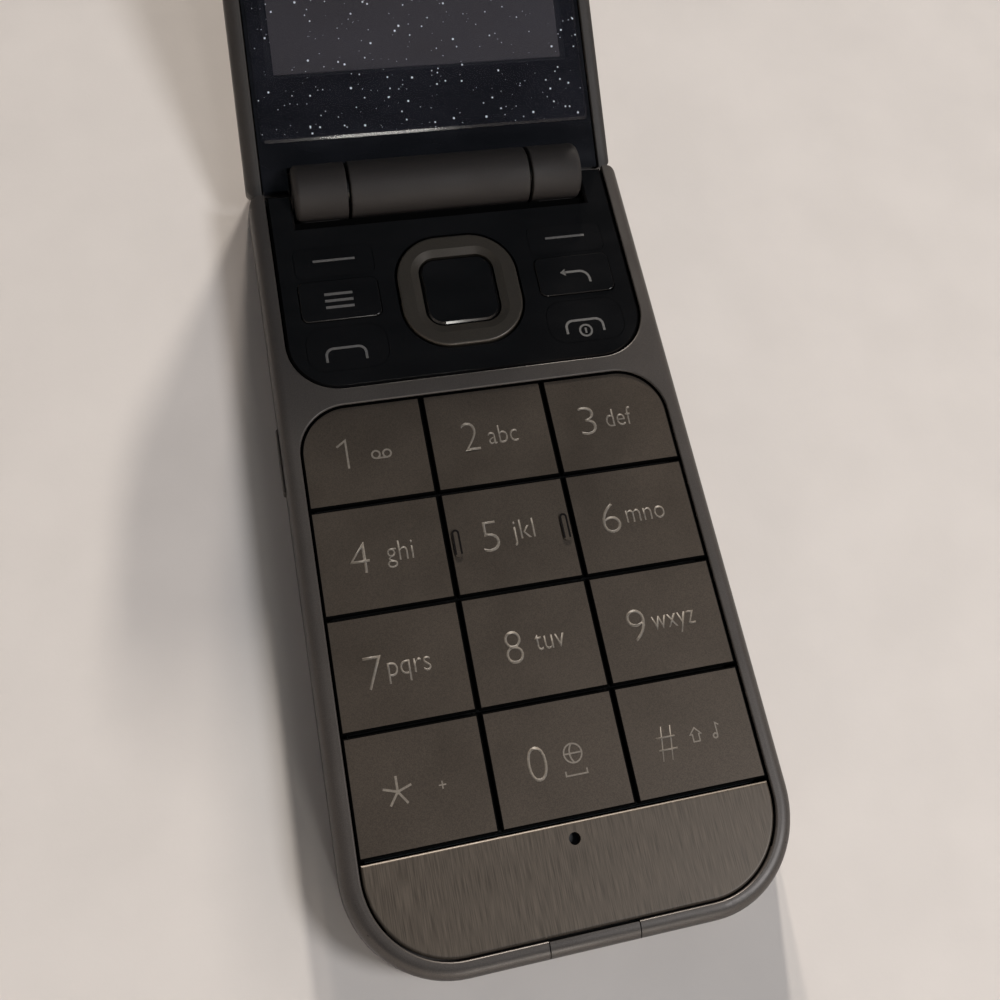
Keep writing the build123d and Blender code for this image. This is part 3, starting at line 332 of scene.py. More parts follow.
def paint_shade_inside(material, low, high):
    """Painted shade on the surfaces inside a box, which goes from its low to its high corner: dark tone,
    no specular level and full roughness.
    """
    tree = material.node_tree
    shader = tree.nodes["Principled BSDF"]
    axes = tree.nodes.new("ShaderNodeSeparateXYZ")
    tree.links.new(tree.nodes["Texture Coordinate"].outputs["Object"], axes.inputs["Vector"])
    inside = []
    for axis, start, end in zip("XYZ", low, high):
        inside.append(calculate(tree, "GREATER_THAN", axes.outputs[axis], start))
        inside.append(calculate(tree, "LESS_THAN", axes.outputs[axis], end))
    share = inside[0]
    for other in inside[1:]:
        share = calculate(tree, "MULTIPLY", share, other)
    mix = tree.nodes.new("ShaderNodeMix")
    mix.data_type = "RGBA"
    tree.links.new(share, mix.inputs["Factor"])
    tree.links.new(shader.inputs["Base Color"].links[0].from_socket, mix.inputs[mix_first])
    mix.inputs[mix_second].default_value = (*painted_shade_tone, 1)
    tree.links.new(mix.outputs[mix_result], shader.inputs["Base Color"])
    tree.links.new(value_between(tree, share, paint_shine, 0.0), shader.inputs["Specular IOR Level"])
    rough = shader.inputs["Roughness"].links[0].from_socket
    tree.links.new(calculate(tree, "MAXIMUM", rough, share), shader.inputs["Roughness"])


def brushed_metal(name, colour, rough, metal, stretch, strength):
    """Metal or paint with fine lines along the axis of least stretch, or grains where all are alike."""
    material, tree, shader, place = shader_tree(name)
    lines = grain(tree, place, scale=1000, stretch=stretch, detail=3.0)
    tone = colour_between(tree, lines, scaled(colour, 0.72), scaled(colour, 1.3), low=0.3, high=0.7)
    tree.links.new(tone, shader.inputs["Base Color"])
    tree.links.new(value_between(tree, lines, rough - 0.08, rough + 0.08), shader.inputs["Roughness"])
    shader.inputs["Metallic"].default_value = metal
    relief(tree, shader, lines, strength=strength, distance=0.02 * mm)
    return material


def polished(name, colour):
    """Gloss plastic with faint smears."""
    material, tree, shader, place = shader_tree(name)
    smears = grain(tree, place, scale=90, stretch=(1, 3, 1), detail=5.0)
    ripple = grain(tree, place, scale=600, detail=1.0)
    tone = colour_between(tree, smears, colour, scaled(colour, 1.8), low=0.4, high=0.8)
    tree.links.new(tone, shader.inputs["Base Color"])
    tree.links.new(value_between(tree, smears, 0.06, 0.13), shader.inputs["Roughness"])
    shader.inputs["IOR"].default_value = 1.38
    relief(tree, shader, ripple, strength=0.04, distance=0.01 * mm)
    return material


def clear_glass(name, colour, cover):
    """Tinted glass that shows what is under it; cover is how much it hides."""
    material, tree, shader, place = shader_tree(name)
    smears = grain(tree, place, scale=70, stretch=(1, 2.5, 1), detail=6.0)
    tone = colour_between(tree, smears, colour, scaled(colour, 1.6))
    tree.links.new(tone, shader.inputs["Base Color"])
    tree.links.new(value_between(tree, smears, 0.05, 0.12), shader.inputs["Roughness"])
    shader.inputs["IOR"].default_value = 1.45
    shader.inputs["Alpha"].default_value = cover
    return material


def moulded(name, colour, rough=0.55, bump=0.25):
    """Plastic, rubber or film with a fine moulded grain."""
    material, tree, shader, place = shader_tree(name)
    pores = grain(tree, place, scale=5000, detail=2.0)
    tone = colour_between(tree, pores, scaled(colour, 0.85), scaled(colour, 1.12))
    tree.links.new(tone, shader.inputs["Base Color"])
    tree.links.new(value_between(tree, pores, rough - 0.05, rough + 0.05), shader.inputs["Roughness"])
    relief(tree, shader, pores, strength=bump, distance=0.03 * mm)
    return material


def paint_nodes(names, material):
    """Give CAD nodes their finish."""
    for name in names:
        for slot in frame["nodes"][name].material_slots:
            slot.material = material


def body_of(node):
    """The body that a CAD node rides on."""
    return frame["nodes"][node]["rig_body"]


def add_piece(name, mesh, body, material):
    """Put a finished mesh into the scene and let it ride on a body."""
    piece = bpy.data.objects.new(name, mesh)
    bpy.context.scene.collection.objects.link(piece)
    mesh.materials.clear()
    mesh.materials.append(material)
    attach(piece, body)
    return piece


def mesh_from(bm, name):
    """Turn a bmesh into a mesh."""
    mesh = bpy.data.meshes.new(name)
    bm.to_mesh(mesh)
    bm.free()
    return mesh


def add_line(bm, points, width, closed=False):
    """Flat stroke of one width along a line of points, a hair above the strokes before it."""
    level = max((vertex.co.z for vertex in bm.verts), default=-stroke_lift) + stroke_lift
    count = len(points)
    sides = []
    for index, point in enumerate(points):
        before = points[index - 1] if closed or index > 0 else point
        after = points[(index + 1) % count] if closed or index < count - 1 else point
        arriving = (Vector(point) - Vector(before)).normalized()
        leaving = (Vector(after) - Vector(point)).normalized()
        if arriving.length == 0:
            arriving = leaving
        if leaving.length == 0:
            leaving = arriving
        along = (arriving + leaving).normalized()
        # A sharp corner widens the stroke to twice its width at most
        across = Vector((-along.y, along.x)) * width / 2 / max(0.5, along.dot(arriving))
        left = Vector(point) + across
        right = Vector(point) - across
        sides.append((bm.verts.new((right.x, right.y, level)), bm.verts.new((left.x, left.y, level))))
    steps = count if closed else count - 1
    for index in range(steps):
        right, left = sides[index]
        next_right, next_left = sides[(index + 1) % count]
        bm.faces.new((right, next_right, next_left, left))


def add_spokes(bm, x, y, reach, width, count):
    """Flat star of straight arms that meet in its middle."""
    step = 2 * pi / count
    notch = width / 2 / sin(step / 2)
    corners = []
    for arm in range(count):
        angle = pi / 2 + arm * step
        along = Vector((cos(angle), sin(angle)))
        across = Vector((-along.y, along.x)) * width / 2
        corners.append(along * reach - across)
        corners.append(along * reach + across)
        corners.append(Vector((cos(angle + step / 2), sin(angle + step / 2))) * notch)
    bm.faces.new([bm.verts.new((x + corner.x, y + corner.y, 0)) for corner in corners])


def arc(x, y, radius, start, end, steps):
    """Points on part of a circle, angles in degrees."""
    angles = [radians(start + (end - start) * step / steps) for step in range(steps + 1)]
    return [(x + radius * cos(angle), y + radius * sin(angle)) for angle in angles]


def character_mesh(text, thinning):
    """Flat mesh of some characters, one unit high in the font's own size."""
    curve = bpy.data.curves.new("characters", "FONT")
    curve.body = text
    curve.offset = -thinning
    curve.resolution_u = 4
    writer = bpy.data.objects.new("characters", curve)
    bpy.context.scene.collection.objects.link(writer)
    bpy.context.view_layer.update()
    ready = writer.evaluated_get(bpy.context.evaluated_depsgraph_get())
    mesh = bpy.data.meshes.new_from_object(ready)
    bpy.data.objects.remove(writer)
    bpy.data.curves.remove(curve)
    return mesh


def add_characters(bm, text, left, right, base, height, model, thinning):
    """Characters between two sides, with the model character as high as asked."""
    gauge = character_mesh(model, thinning)
    tall = max(vertex.co.y for vertex in gauge.vertices)
    mesh = character_mesh(text, thinning)
    start = min(vertex.co.x for vertex in mesh.vertices)
    end = max(vertex.co.x for vertex in mesh.vertices)
    across = (right - left) / (end - start)
    up = height / tall
    fit = Matrix.Translation((left, base, 0)) @ Matrix.Diagonal((across, up, 1, 1))
    mesh.transform(fit @ Matrix.Translation((-start, 0, 0)))
    bm.from_mesh(mesh)
    bpy.data.meshes.remove(mesh)
    bpy.data.meshes.remove(gauge)


def print_marks(name, bm, node, centre, level, material):
    """Turn flat marks in millimetres into a thin print on a key."""
    thickness = bpy.context.scene.flip_phone_sizes.mark_thickness
    bmesh.ops.remove_doubles(bm, verts=bm.verts, dist=weld_distance)
    bmesh.ops.solidify(bm, geom=bm.faces[:], thickness=thickness / mm)
    bmesh.ops.recalc_face_normals(bm, faces=bm.faces)
    lowest = min(vertex.co.z for vertex in bm.verts)
    scale = Matrix.Diagonal((mm, mm, mm, 1))
    place = Matrix.Translation((centre.x, centre.y, level - lowest * mm))
    bmesh.ops.transform(bm, matrix=place @ scale, verts=bm.verts)
    add_piece(name, mesh_from(bm, name), body_of(node), material)


def centre_of(node):
    """Middle of a CAD node's box."""
    low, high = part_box(node)
    return (low + high) / 2


def run_nodes(name, mesh, tree, values):
    """Run a geometry tree on a mesh and return the plain mesh it makes."""
    carrier = bpy.data.objects.new(name, mesh)
    bpy.context.scene.collection.objects.link(carrier)
    modifier = carrier.modifiers.new(name, "NODES")
    modifier.node_group = tree
    for item in tree.interface.items_tree:
        if item.item_type == "SOCKET" and item.in_out == "INPUT" and item.name in values:
            modifier[item.identifier] = values[item.name]
    bpy.context.view_layer.update()
    ready = carrier.evaluated_get(bpy.context.evaluated_depsgraph_get())
    result = bpy.data.meshes.new_from_object(ready)
    bpy.data.objects.remove(carrier)
    return result


def geometry_tree(name, inputs):
    """New geometry tree with named inputs: name, kind and default of each."""
    tree = bpy.data.node_groups.new(name, "GeometryNodeTree")
    tree.interface.new_socket("Geometry", in_out="INPUT", socket_type="NodeSocketGeometry")
    tree.interface.new_socket("Geometry", in_out="OUTPUT", socket_type="NodeSocketGeometry")
    for label, kind, default in inputs:
        socket = tree.interface.new_socket(label, in_out="INPUT", socket_type=kind)
        if default is not None:
            socket.default_value = default
    return tree, tree.nodes.new("NodeGroupInput")


def end_tree(tree, entry, instances):
    """Make the instances real, give them their material and let them out of the tree."""
    real = tree.nodes.new("GeometryNodeRealizeInstances")
    finish = tree.nodes.new("GeometryNodeSetMaterial")
    leave = tree.nodes.new("NodeGroupOutput")
    tree.links.new(instances, real.inputs["Geometry"])
    tree.links.new(real.outputs["Geometry"], finish.inputs["Geometry"])
    tree.links.new(entry.outputs["Material"], finish.inputs["Material"])
    tree.links.new(finish.outputs["Geometry"], leave.inputs["Geometry"])


def dust_tree():
    """Specks of dust spread over a surface."""
    tree, entry = geometry_tree("Glass dust", [
        ("Density", "NodeSocketFloat", 1.0),
        ("Radius", "NodeSocketFloat", 0.001),
        ("Seed", "NodeSocketInt", 0),
        ("Material", "NodeSocketMaterial", None),
    ])
    new, link = tree.nodes.new, tree.links.new
    spread = new("GeometryNodeDistributePointsOnFaces")
    speck = new("GeometryNodeMeshIcoSphere")
    speck.inputs["Subdivisions"].default_value = 1
    size = new("FunctionNodeRandomValue")
    size.data_type = "FLOAT"
    share = calculate(tree, "POWER", size.outputs[random_number], dust_rarity)
    turn = new("FunctionNodeRandomValue")
    turn.data_type = "FLOAT_VECTOR"
    turn.inputs["Max"].default_value = (2 * pi, 2 * pi, 2 * pi)
    place = new("GeometryNodeInstanceOnPoints")
    link(entry.outputs["Geometry"], spread.inputs["Mesh"])
    link(entry.outputs["Density"], spread.inputs["Density"])
    link(entry.outputs["Seed"], spread.inputs["Seed"])
    link(entry.outputs["Radius"], speck.inputs["Radius"])
    link(entry.outputs["Seed"], size.inputs["Seed"])
    link(entry.outputs["Seed"], turn.inputs["Seed"])
    link(spread.outputs["Points"], place.inputs["Points"])
    link(speck.outputs["Mesh"], place.inputs["Instance"])
    link(turn.outputs[random_vector], place.inputs["Rotation"])
    link(calculate(tree, "ADD", share, dust_smallest), place.inputs["Scale"])
    end_tree(tree, entry, place.outputs["Instances"])
    return tree


def bar_row_tree():
    """Row of equal round bars side by side along X, each lying along Y."""
    tree, entry = geometry_tree("Bar row", [
        ("Count", "NodeSocketInt", 2),
        ("Pitch", "NodeSocketFloat", 0.001),
        ("Radius", "NodeSocketFloat", 0.001),
        ("Length", "NodeSocketFloat", 0.001),
        ("Material", "NodeSocketMaterial", None),
    ])
    new, link = tree.nodes.new, tree.links.new
    step = new("ShaderNodeCombineXYZ")
    row = new("GeometryNodeMeshLine")
    bar = new("GeometryNodeMeshCylinder")
    bar.inputs["Vertices"].default_value = 8
    place = new("GeometryNodeInstanceOnPoints")
    place.inputs["Rotation"].default_value = (pi / 2, 0, 0)
    link(entry.outputs["Pitch"], step.inputs["X"])
    link(entry.outputs["Count"], row.inputs["Count"])
    link(step.outputs["Vector"], row.inputs["Offset"])
    link(entry.outputs["Radius"], bar.inputs["Radius"])
    link(entry.outputs["Length"], bar.inputs["Depth"])
    link(row.outputs["Mesh"], place.inputs["Points"])
    link(bar.outputs["Mesh"], place.inputs["Instance"])
    end_tree(tree, entry, place.outputs["Instances"])
    return tree


def bar_row(width, length, pitch, radius, tree, material):
    """Row of bars centred on the origin."""
    count = int(width / pitch) + 1
    values = {"Count": count, "Pitch": pitch, "Radius": radius, "Length": length, "Material": material}
    mesh = run_nodes("bar_row", bpy.data.meshes.new("empty_start"), tree, values)
    mesh.transform(Matrix.Translation((-(count - 1) * pitch / 2, 0, 0)))
    return mesh


def wire_mesh(name, width, length, place, body, tree, material):
    """Woven mesh of two crossing rows of wires."""
    sizes = bpy.context.scene.flip_phone_sizes
    pitch, radius = sizes.wire_pitch, sizes.wire_radius
    bm = bmesh.new()
    along = bar_row(width - 2 * radius, length, pitch, radius, tree, material)
    bm.from_mesh(along)
    across = bar_row(length - 2 * radius, width, pitch, radius, tree, material)
    across.transform(Matrix.Translation((0, 0, radius)) @ Matrix.Rotation(pi / 2, 4, "Z"))
    bm.from_mesh(across)
    bmesh.ops.transform(bm, matrix=place, verts=bm.verts)
    bmesh.ops.recalc_face_normals(bm, faces=bm.faces)
    add_piece(name, mesh_from(bm, name), body, material)


def turned(profile, place, name, sides=48):
    """Round piece: radius and height of each ring, where a radius of 0 is a pole."""
    bm = bmesh.new()
    rings = []
    for radius, height in profile:
        corners = 1 if radius == 0 else sides
        angles = [2 * pi * corner / corners for corner in range(corners)]
        ring = [(radius * cos(angle), radius * sin(angle), height) for angle in angles]
        rings.append([bm.verts.new(point) for point in ring])
    for lower, upper in zip(rings, rings[1:]):
        for side in range(sides):
            after = (side + 1) % sides
            if len(lower) == 1:
                bm.faces.new((lower[0], upper[after], upper[side]))
            elif len(upper) == 1:
                bm.faces.new((lower[side], lower[after], upper[0]))
            else:
                bm.faces.new((lower[side], lower[after], upper[after], upper[side]))
    bmesh.ops.transform(bm, matrix=place, verts=bm.verts)
    bmesh.ops.recalc_face_normals(bm, faces=bm.faces)
    for face in bm.faces:
        face.smooth = True
    return mesh_from(bm, name)


def sheet_mesh(name, low, high, edge, place):
    """Thin closed plate with rounded edges, from its low to its high corner."""
    low = Vector(low)
    high = Vector(high)
    bm = bmesh.new()
    bmesh.ops.create_cube(bm, size=1)
    size = Matrix.Diagonal((*(high - low), 1))
    bmesh.ops.transform(bm, matrix=Matrix.Translation((low + high) / 2) @ size, verts=bm.verts)
    bmesh.ops.bevel(bm, geom=bm.edges[:], offset=edge, segments=2, affect="EDGES")
    bmesh.ops.transform(bm, matrix=place, verts=bm.verts)
    return mesh_from(bm, name)


def add_floor(colour):
    """Pale floor that curves up far from the phone."""
    material, tree, shader, place = shader_tree("Studio floor")
    mottle = grain(tree, place, scale=60, detail=8.0)
    fibre = grain(tree, place, scale=1500, detail=3.0)
    tone = colour_between(tree, mottle, scaled(colour, 0.97), scaled(colour, 1.02))
    tree.links.new(tone, shader.inputs["Base Color"])
    shader.inputs["Roughness"].default_value = 0.85
    relief(tree, shader, fibre, strength=0.15, distance=0.05 * mm)
    curve = arc(floor_flat, floor_curve, floor_curve, -90, 0, steps=9)
    profile = [(0, 0), (floor_middle, 0), *curve, (floor_flat + floor_curve, floor_top)]
    mesh = turned(profile, Matrix(), "studio_floor", sides=96)
    if mesh.polygons[0].normal.z < 0:
        mesh.flip_normals()
    mesh.materials.append(material)
    floor = bpy.data.objects.new("studio_floor", mesh)
    bpy.context.scene.collection.objects.link(floor)
    floor.visible_shadow = False


def add_light(name, light, place, power, colour):
    """Put a light at its place and turn it to the phone."""
    light.energy = power
    light.color = colour
    lamp = bpy.data.objects.new(name, light)
    lamp.location = place
    lamp.rotation_mode = "QUATERNION"
    lamp.rotation_quaternion = (-Vector(place)).to_track_quat("-Z", "Y")
    lamp.visible_camera = False
    bpy.context.scene.collection.objects.link(lamp)


def add_room_light():
    """Faint even light from all round."""
    world = bpy.data.worlds.new("Studio light")
    bpy.context.scene.world = world
    world.use_nodes = True
    background = world.node_tree.nodes["Background"]
    background.inputs["Color"].default_value = (*room_colour, 1)
    background.inputs["Strength"].default_value = room_strength


def add_camera():
    """Camera that sees the phone as the photo shows it."""
    camera = bpy.data.objects.new("camera", bpy.data.cameras.new("camera"))
    camera.data.lens = focal_length
    camera.data.sensor_width = sensor_width
    camera.data.shift_y = camera_shift
    camera.data.clip_start = nearest_view
    camera.location = camera_place
    camera.rotation_euler = [radians(turn) for turn in camera_turns]
    bpy.context.scene.collection.objects.link(camera)
    bpy.context.scene.camera = camera


class FLIPPHONE_OT_stage(bpy.types.Operator):
    """Pale studio floor, two lamps, two suns from behind, faint room light and the camera"""
    bl_idname = "flip_phone.stage"
    bl_label = "Stage"

    def execute(self, context):
        add_floor(context.scene.flip_phone_colours.floor)
        add_room_light()
        for name, (place, size, power, colour) in area_lamps.items():
            light = bpy.data.lights.new(name, "AREA")
            light.shape = "ELLIPSE"
            light.size, light.size_y = size
            add_light(name, light, place, power, colour)
        for name, (place, angle, strength, colour) in suns.items():
            light = bpy.data.lights.new(name, "SUN")
            light.angle = radians(angle)
            add_light(name, light, place, strength, colour)
        add_camera()
        context.scene.view_settings.view_transform = "Standard"
        return {"FINISHED"}


class FLIPPHONE_OT_housing(bpy.types.Operator):
    """Satin paint on the housing, the lid and the side keys, painted shade inside the frame"""
    bl_idname = "flip_phone.housing"
    bl_label = "Housing"

    def execute(self, context):
        colour = context.scene.flip_phone_colours.paint
        paint_nodes(["rear_cover", "port_bezel", "lid_cover", "left_side_key", "volume_rocker"],
                    satin_paint("Housing paint", colour))
        # The lid frame has the housing paint; this copy is painted darker as shade, to hold down the
        # sheen its rim catches
        paint_nodes(["lid_frame"], satin_paint("Shaded lid paint", scaled(colour, 0.58), rough=0.6, metal=0.15))
        frame_paint = satin_paint("Frame paint", colour)
        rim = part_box("base_frame")[1]
        low = (-well_half_width * mm, well_free_end * mm, -beyond)
        high = (well_half_width * mm, rim.y - well_far_inset * mm, rim.z - well_edge_depth * mm)
        # Painted shade on the frame below its top edge inside the windows, such as the trough before the
        # hinge barrel
        paint_shade_inside(frame_paint, low, high)
        paint_nodes(["base_frame"], frame_paint)
        return {"FINISHED"}


class FLIPPHONE_OT_number_keys(bpy.types.Operator):
    """Satin paint on the tops of the number keys, painted shade on their sides"""
    bl_idname = "flip_phone.number_keys"
    bl_label = "Number keys"

    def execute(self, context):
        colour = context.scene.flip_phone_colours.keys
        paint = satin_paint("Key paint", colour, rough=0.46, metal=0.6)
        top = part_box("key_1")[1].z
        # Painted shade from just under the key tops down, which darkens the edge rounds and the grooves
        # between keys
        paint_shade_inside(paint, (-beyond, -beyond, -beyond), (beyond, beyond, top - key_skin * mm))
        paint_nodes(number_keys, paint)
        return {"FINISHED"}


class FLIPPHONE_OT_chin_plate(bpy.types.Operator):
    """Brushed finish on the plate below the keys"""
    bl_idname = "flip_phone.chin_plate"
    bl_label = "Chin plate"

    def execute(self, context):
        colour = context.scene.flip_phone_colours.chin
        finish = brushed_metal("Brushed chin", colour, rough=0.44, metal=0.35,
                               stretch=(8, 0.3, 8), strength=0.25)
        paint_nodes(["chin_plate"], finish)
        return {"FINISHED"}


class FLIPPHONE_OT_gloss_pieces(bpy.types.Operator):
    """Polished near-black plates and keys"""
    bl_idname = "flip_phone.gloss_pieces"
    bl_label = "Gloss pieces"

    def execute(self, context):
        colours = context.scene.flip_phone_colours
        finish = polished("Polished black", colours.gloss)
        paint_nodes([*function_keys, "select_key", "function_plate", "outer_window"], finish)
        paint_nodes(["lid_panel"], polished("Polished blue black", colours.panel))
        return {"FINISHED"}


class FLIPPHONE_OT_ring(bpy.types.Operator):
    """Satin finish on the navigation ring"""
    bl_idname = "flip_phone.ring"
    bl_label = "Navigation ring"

    def execute(self, context):
        colour = context.scene.flip_phone_colours.ring
        paint_nodes(["nav_ring"], satin_paint("Ring paint", colour, rough=0.36, metal=0.4))
        return {"FINISHED"}


class FLIPPHONE_OT_barrel(bpy.types.Operator):
    """Satin paint on the hinge barrel"""
    bl_idname = "flip_phone.barrel"
    bl_label = "Hinge barrel"

    def execute(self, context):
        colour = context.scene.flip_phone_colours.barrel
        paint = satin_paint("Barrel paint", colour, rough=0.66, metal=0.1)
        paint_nodes(["knuckle_left", "knuckle_right", "hinge_barrel"], paint)
        return {"FINISHED"}


class FLIPPHONE_OT_glass(bpy.types.Operator):
    """Tinted glass over the main display and the camera, and the lens of the lamp"""
    bl_idname = "flip_phone.glass"
    bl_label = "Glass"

    def execute(self, context):
        tint = context.scene.flip_phone_colours.glass
        paint_nodes(["display_glass"], clear_glass("Display glass", tint, cover=0.42))
        paint_nodes(["camera_window"], clear_glass("Camera glass", tint, cover=0.35))
        paint_nodes(["flash_lamp"], moulded("Lamp lens", (0.72, 0.70, 0.60), rough=0.2, bump=0.5))
        return {"FINISHED"}


class FLIPPHONE_OT_inner_metal(bpy.types.Operator):
    """Finishes of the metal pieces inside"""
    bl_idname = "flip_phone.inner_metal"
    bl_label = "Inner metal"

    def execute(self, context):
        steel = brushed_metal("Plain steel", (0.42, 0.42, 0.41), rough=0.35, metal=1.0,
                              stretch=(4, 0.5, 4), strength=0.2)
        paint_nodes(["chassis_plate", "hinge_pin", "hinge_detent", "housing_screws", "lid_screws",
                     "nav_spring_frame", "charging_port", "card_socket", "vibration_motor"], steel)
        gilt = brushed_metal("Gilt contacts", (0.60, 0.42, 0.16), rough=0.3, metal=1.0,
                             stretch=(2, 2, 2), strength=0.1)
        paint_nodes(["metal_domes", "battery_contacts"], gilt)
        return {"FINISHED"}


class FLIPPHONE_OT_inner_parts(bpy.types.Operator):
    """Finishes of the boards, modules and soft pieces inside"""
    bl_idname = "flip_phone.inner_parts"
    bl_label = "Inner parts"

    def execute(self, context):
        paint_nodes(["main_board", "lid_board"],
                    moulded("Board laminate", (0.02, 0.10, 0.05), rough=0.4))
        paint_nodes(["headset_jack", "microphone", "loudspeaker", "camera_module", "earpiece"],
                    moulded("Module plastic", (0.015, 0.015, 0.017)))
        paint_nodes(["main_display", "outer_display"], moulded("Display frame", (0.004, 0.004, 0.005)))
        paint_nodes(["battery"], moulded("Battery sleeve", (0.05, 0.05, 0.055), rough=0.35, bump=0.1))
        paint_nodes(["key_mat"], moulded("Black rubber film", (0.008, 0.008, 0.008), rough=0.9))
        paint_nodes(["lid_bumpers"], moulded("Soft black", (0.02, 0.02, 0.02), rough=0.8))
        return {"FINISHED"}


# Signs on the keys, drawn in millimetres from the key's centre
def one_sign(bm, width):
    """The digit 1, and two rings on one line."""
    add_line(bm, [(-3.6, 1.15), (-2.4, 1.95), (-2.4, -1.9)], width)
    thin = width * 0.85
    for x in (1.25, 2.7):
        add_line(bm, arc(x, -0.5, 0.52, 0, 330, 11), thin, closed=True)
    add_line(bm, [(1.25, -1.02), (2.7, -1.02)], thin)


def star_sign(bm, width):
    """Asterisk and a plus."""
    add_spokes(bm, -2.65, -0.2, 1.75, width, 5)
    add_spokes(bm, 2.55, -0.4, 0.45, width * 0.6, 4)


def space_sign(bm, width):
    """Globe over a space bar bracket."""
    thin = width * 0.7
    add_line(bm, arc(1.85, 0.25, 1.1, 0, 345, 23), thin, closed=True)
    add_line(bm, arc(3.1, 0.25, 1.65, 138, 222, 8), thin)
    add_line(bm, [(0.75, 0.25), (2.95, 0.25)], thin)
    add_line(bm, [(0.55, -1.65), (0.55, -2.2), (3.15, -2.2), (3.15, -1.65)], thin)


def shift_sign(bm, width):
    """Outlined arrow that points up, and a note."""
    arrow = [(0.3, -1.2), (0.3, -0.35), (0.0, -0.35), (0.7, 0.4), (1.4, -0.35), (1.1, -0.35), (1.1, -1.2)]
    add_line(bm, arrow, width * 0.6, closed=True)
    add_line(bm, arc(3.15, -0.95, 0.28, 0, 315, 7), width * 0.7, closed=True)
    add_line(bm, [(3.43, -0.95), (3.43, 0.55), (3.85, 0.25)], width * 0.6)


class FLIPPHONE_OT_finger_dirt_and_shade(bpy.types.Operator):
    """Dark lines round the two raised finger marks of the middle key: grime and painted shade at their
    sides
    """
    bl_idname = "flip_phone.finger_seams"
    bl_label = "Finger dirt and shade"

    def execute(self, context):
        # Grime and painted shade where the raised marks meet the key
        dirt_and_shade_ink = moulded("Dirt and painted shade", (0.006, 0.005, 0.005), rough=0.9, bump=0.2)
        dirt_and_shade_ink.node_tree.nodes["Principled BSDF"].inputs["Specular IOR Level"].default_value = 0.1
        side = 7.1
        half_width = 0.37
        foot = -1.45
        head = 1.3
        line_width = 0.25
        bm = bmesh.new()
        for x in (-side, side):
            top = arc(x, head, half_width, 180, 0, 8)
            add_line(bm, [(x - half_width, foot), *top, (x + half_width, foot)], line_width)
        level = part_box("key_5")[1].z
        print_marks("finger_seams", bm, "key_5", centre_of("key_5"), level, dirt_and_shade_ink)
        return {"FINISHED"}


class FLIPPHONE_OT_key_marks(bpy.types.Operator):
    """Digits, letters and signs on the number keys"""
    bl_idname = "flip_phone.key_marks"
    bl_label = "Key marks"

    def execute(self, context):
        sizes = context.scene.flip_phone_sizes
        ink = moulded("Printed ink", context.scene.flip_phone_colours.marks, rough=0.5, bump=0.05)
        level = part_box("key_1")[1].z
        sign_width = sizes.line_width / mm * 0.8
        signs = {"key_1": one_sign, "key_star": star_sign, "key_0": space_sign,
                 "key_hash": shift_sign}
        for node in number_keys:
            bm = bmesh.new()
            if node in digit_marks:
                text, left, right, base = digit_marks[node]
                add_characters(bm, text, left, right, base, digit_height, "1", sizes.digit_thinning)
            if node in letter_marks:
                text, left, right, base = letter_marks[node]
                add_characters(bm, text, left, right, base, letter_height, "x", sizes.letter_thinning)
            if node in signs:
                signs[node](bm, sign_width)
            print_marks(f"marks_{node}", bm, node, centre_of(node), level, ink)
        return {"FINISHED"}


def dash_sign(bm, width):
    """Dash of a soft key."""
    add_line(bm, [(-2.9, 0.3), (2.9, 0.3)], width)


def menu_sign(bm, width):
    """Three bars."""
    for y in (0.85, -0.15, -1.15):
        add_line(bm, [(-2.05, y), (1.8, y)], width * 1.15)


def back_sign(bm, width):
    """Arrow that turns back to the left."""
    add_line(bm, [(-1.4, 0.35), (0.7, 0.35), *arc(0.7, -1.0, 1.35, 80, 0, 6), (2.05, -1.5)], width)
    bm.faces.new([bm.verts.new((x, y, 0)) for x, y in ((-2.05, 0.35), (-1.3, -0.2), (-1.3, 0.9))])


def arch_points():
    """Outline of a handset that lies face down."""
    left = arc(-1.95, -0.95, 1.0, 180, 90, 6)
    right = arc(1.35, -0.95, 1.0, 90, 0, 6)
    return [(-2.95, -1.9), *left, *right, (2.35, -1.9)]


def call_sign(bm, width):
    """Handset."""
    add_line(bm, arch_points(), width)


def end_sign(bm, width):
    """Handset over a power sign."""
    add_line(bm, arch_points(), width)
    add_line(bm, arc(-0.3, -1.6, 0.85, 0, 340, 17), width * 0.8, closed=True)
    add_line(bm, [(-0.3, -2.0), (-0.3, -1.2)], width * 0.8)


class FLIPPHONE_OT_function_marks(bpy.types.Operator):
    """Signs on the keys of the function plate"""
    bl_idname = "flip_phone.function_marks"
    bl_label = "Function marks"

    def execute(self, context):
        width = context.scene.flip_phone_sizes.line_width / mm
        ink = moulded("Sign ink", context.scene.flip_phone_colours.signs, rough=0.5, bump=0.05)
        signs = {"soft_key_left": dash_sign, "soft_key_right": dash_sign, "menu_key": menu_sign,
                 "back_key": back_sign, "call_key": call_sign, "end_key": end_sign}
        for node, sign in signs.items():
            bm = bmesh.new()
            sign(bm, width)
            print_marks(f"marks_{node}", bm, node, centre_of(node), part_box(node)[1].z, ink)
        return {"FINISHED"}


class FLIPPHONE_OT_main_screen(bpy.types.Operator):
    """Dark picture of the display under the main glass"""
    bl_idname = "flip_phone.main_screen"
    bl_label = "Main screen"

    def execute(self, context):
        colour = context.scene.flip_phone_colours.screen
        material, tree, shader, place = shader_tree("Dark display")
        cells = grain(tree, place, scale=12000, detail=0.0)
        tone = colour_between(tree, cells, scaled(colour, 0.85), scaled(colour, 1.15))
        tree.links.new(tone, shader.inputs["Base Color"])
        shader.inputs["Roughness"].default_value = 0.35
        low = [part * mm for part in picture_low]
        high = [part * mm for part in picture_high]
        mesh = sheet_mesh("main_screen", low, high, picture_edge * mm, lid_place)
        add_piece("main_screen", mesh, "lid", material)
        return {"FINISHED"}


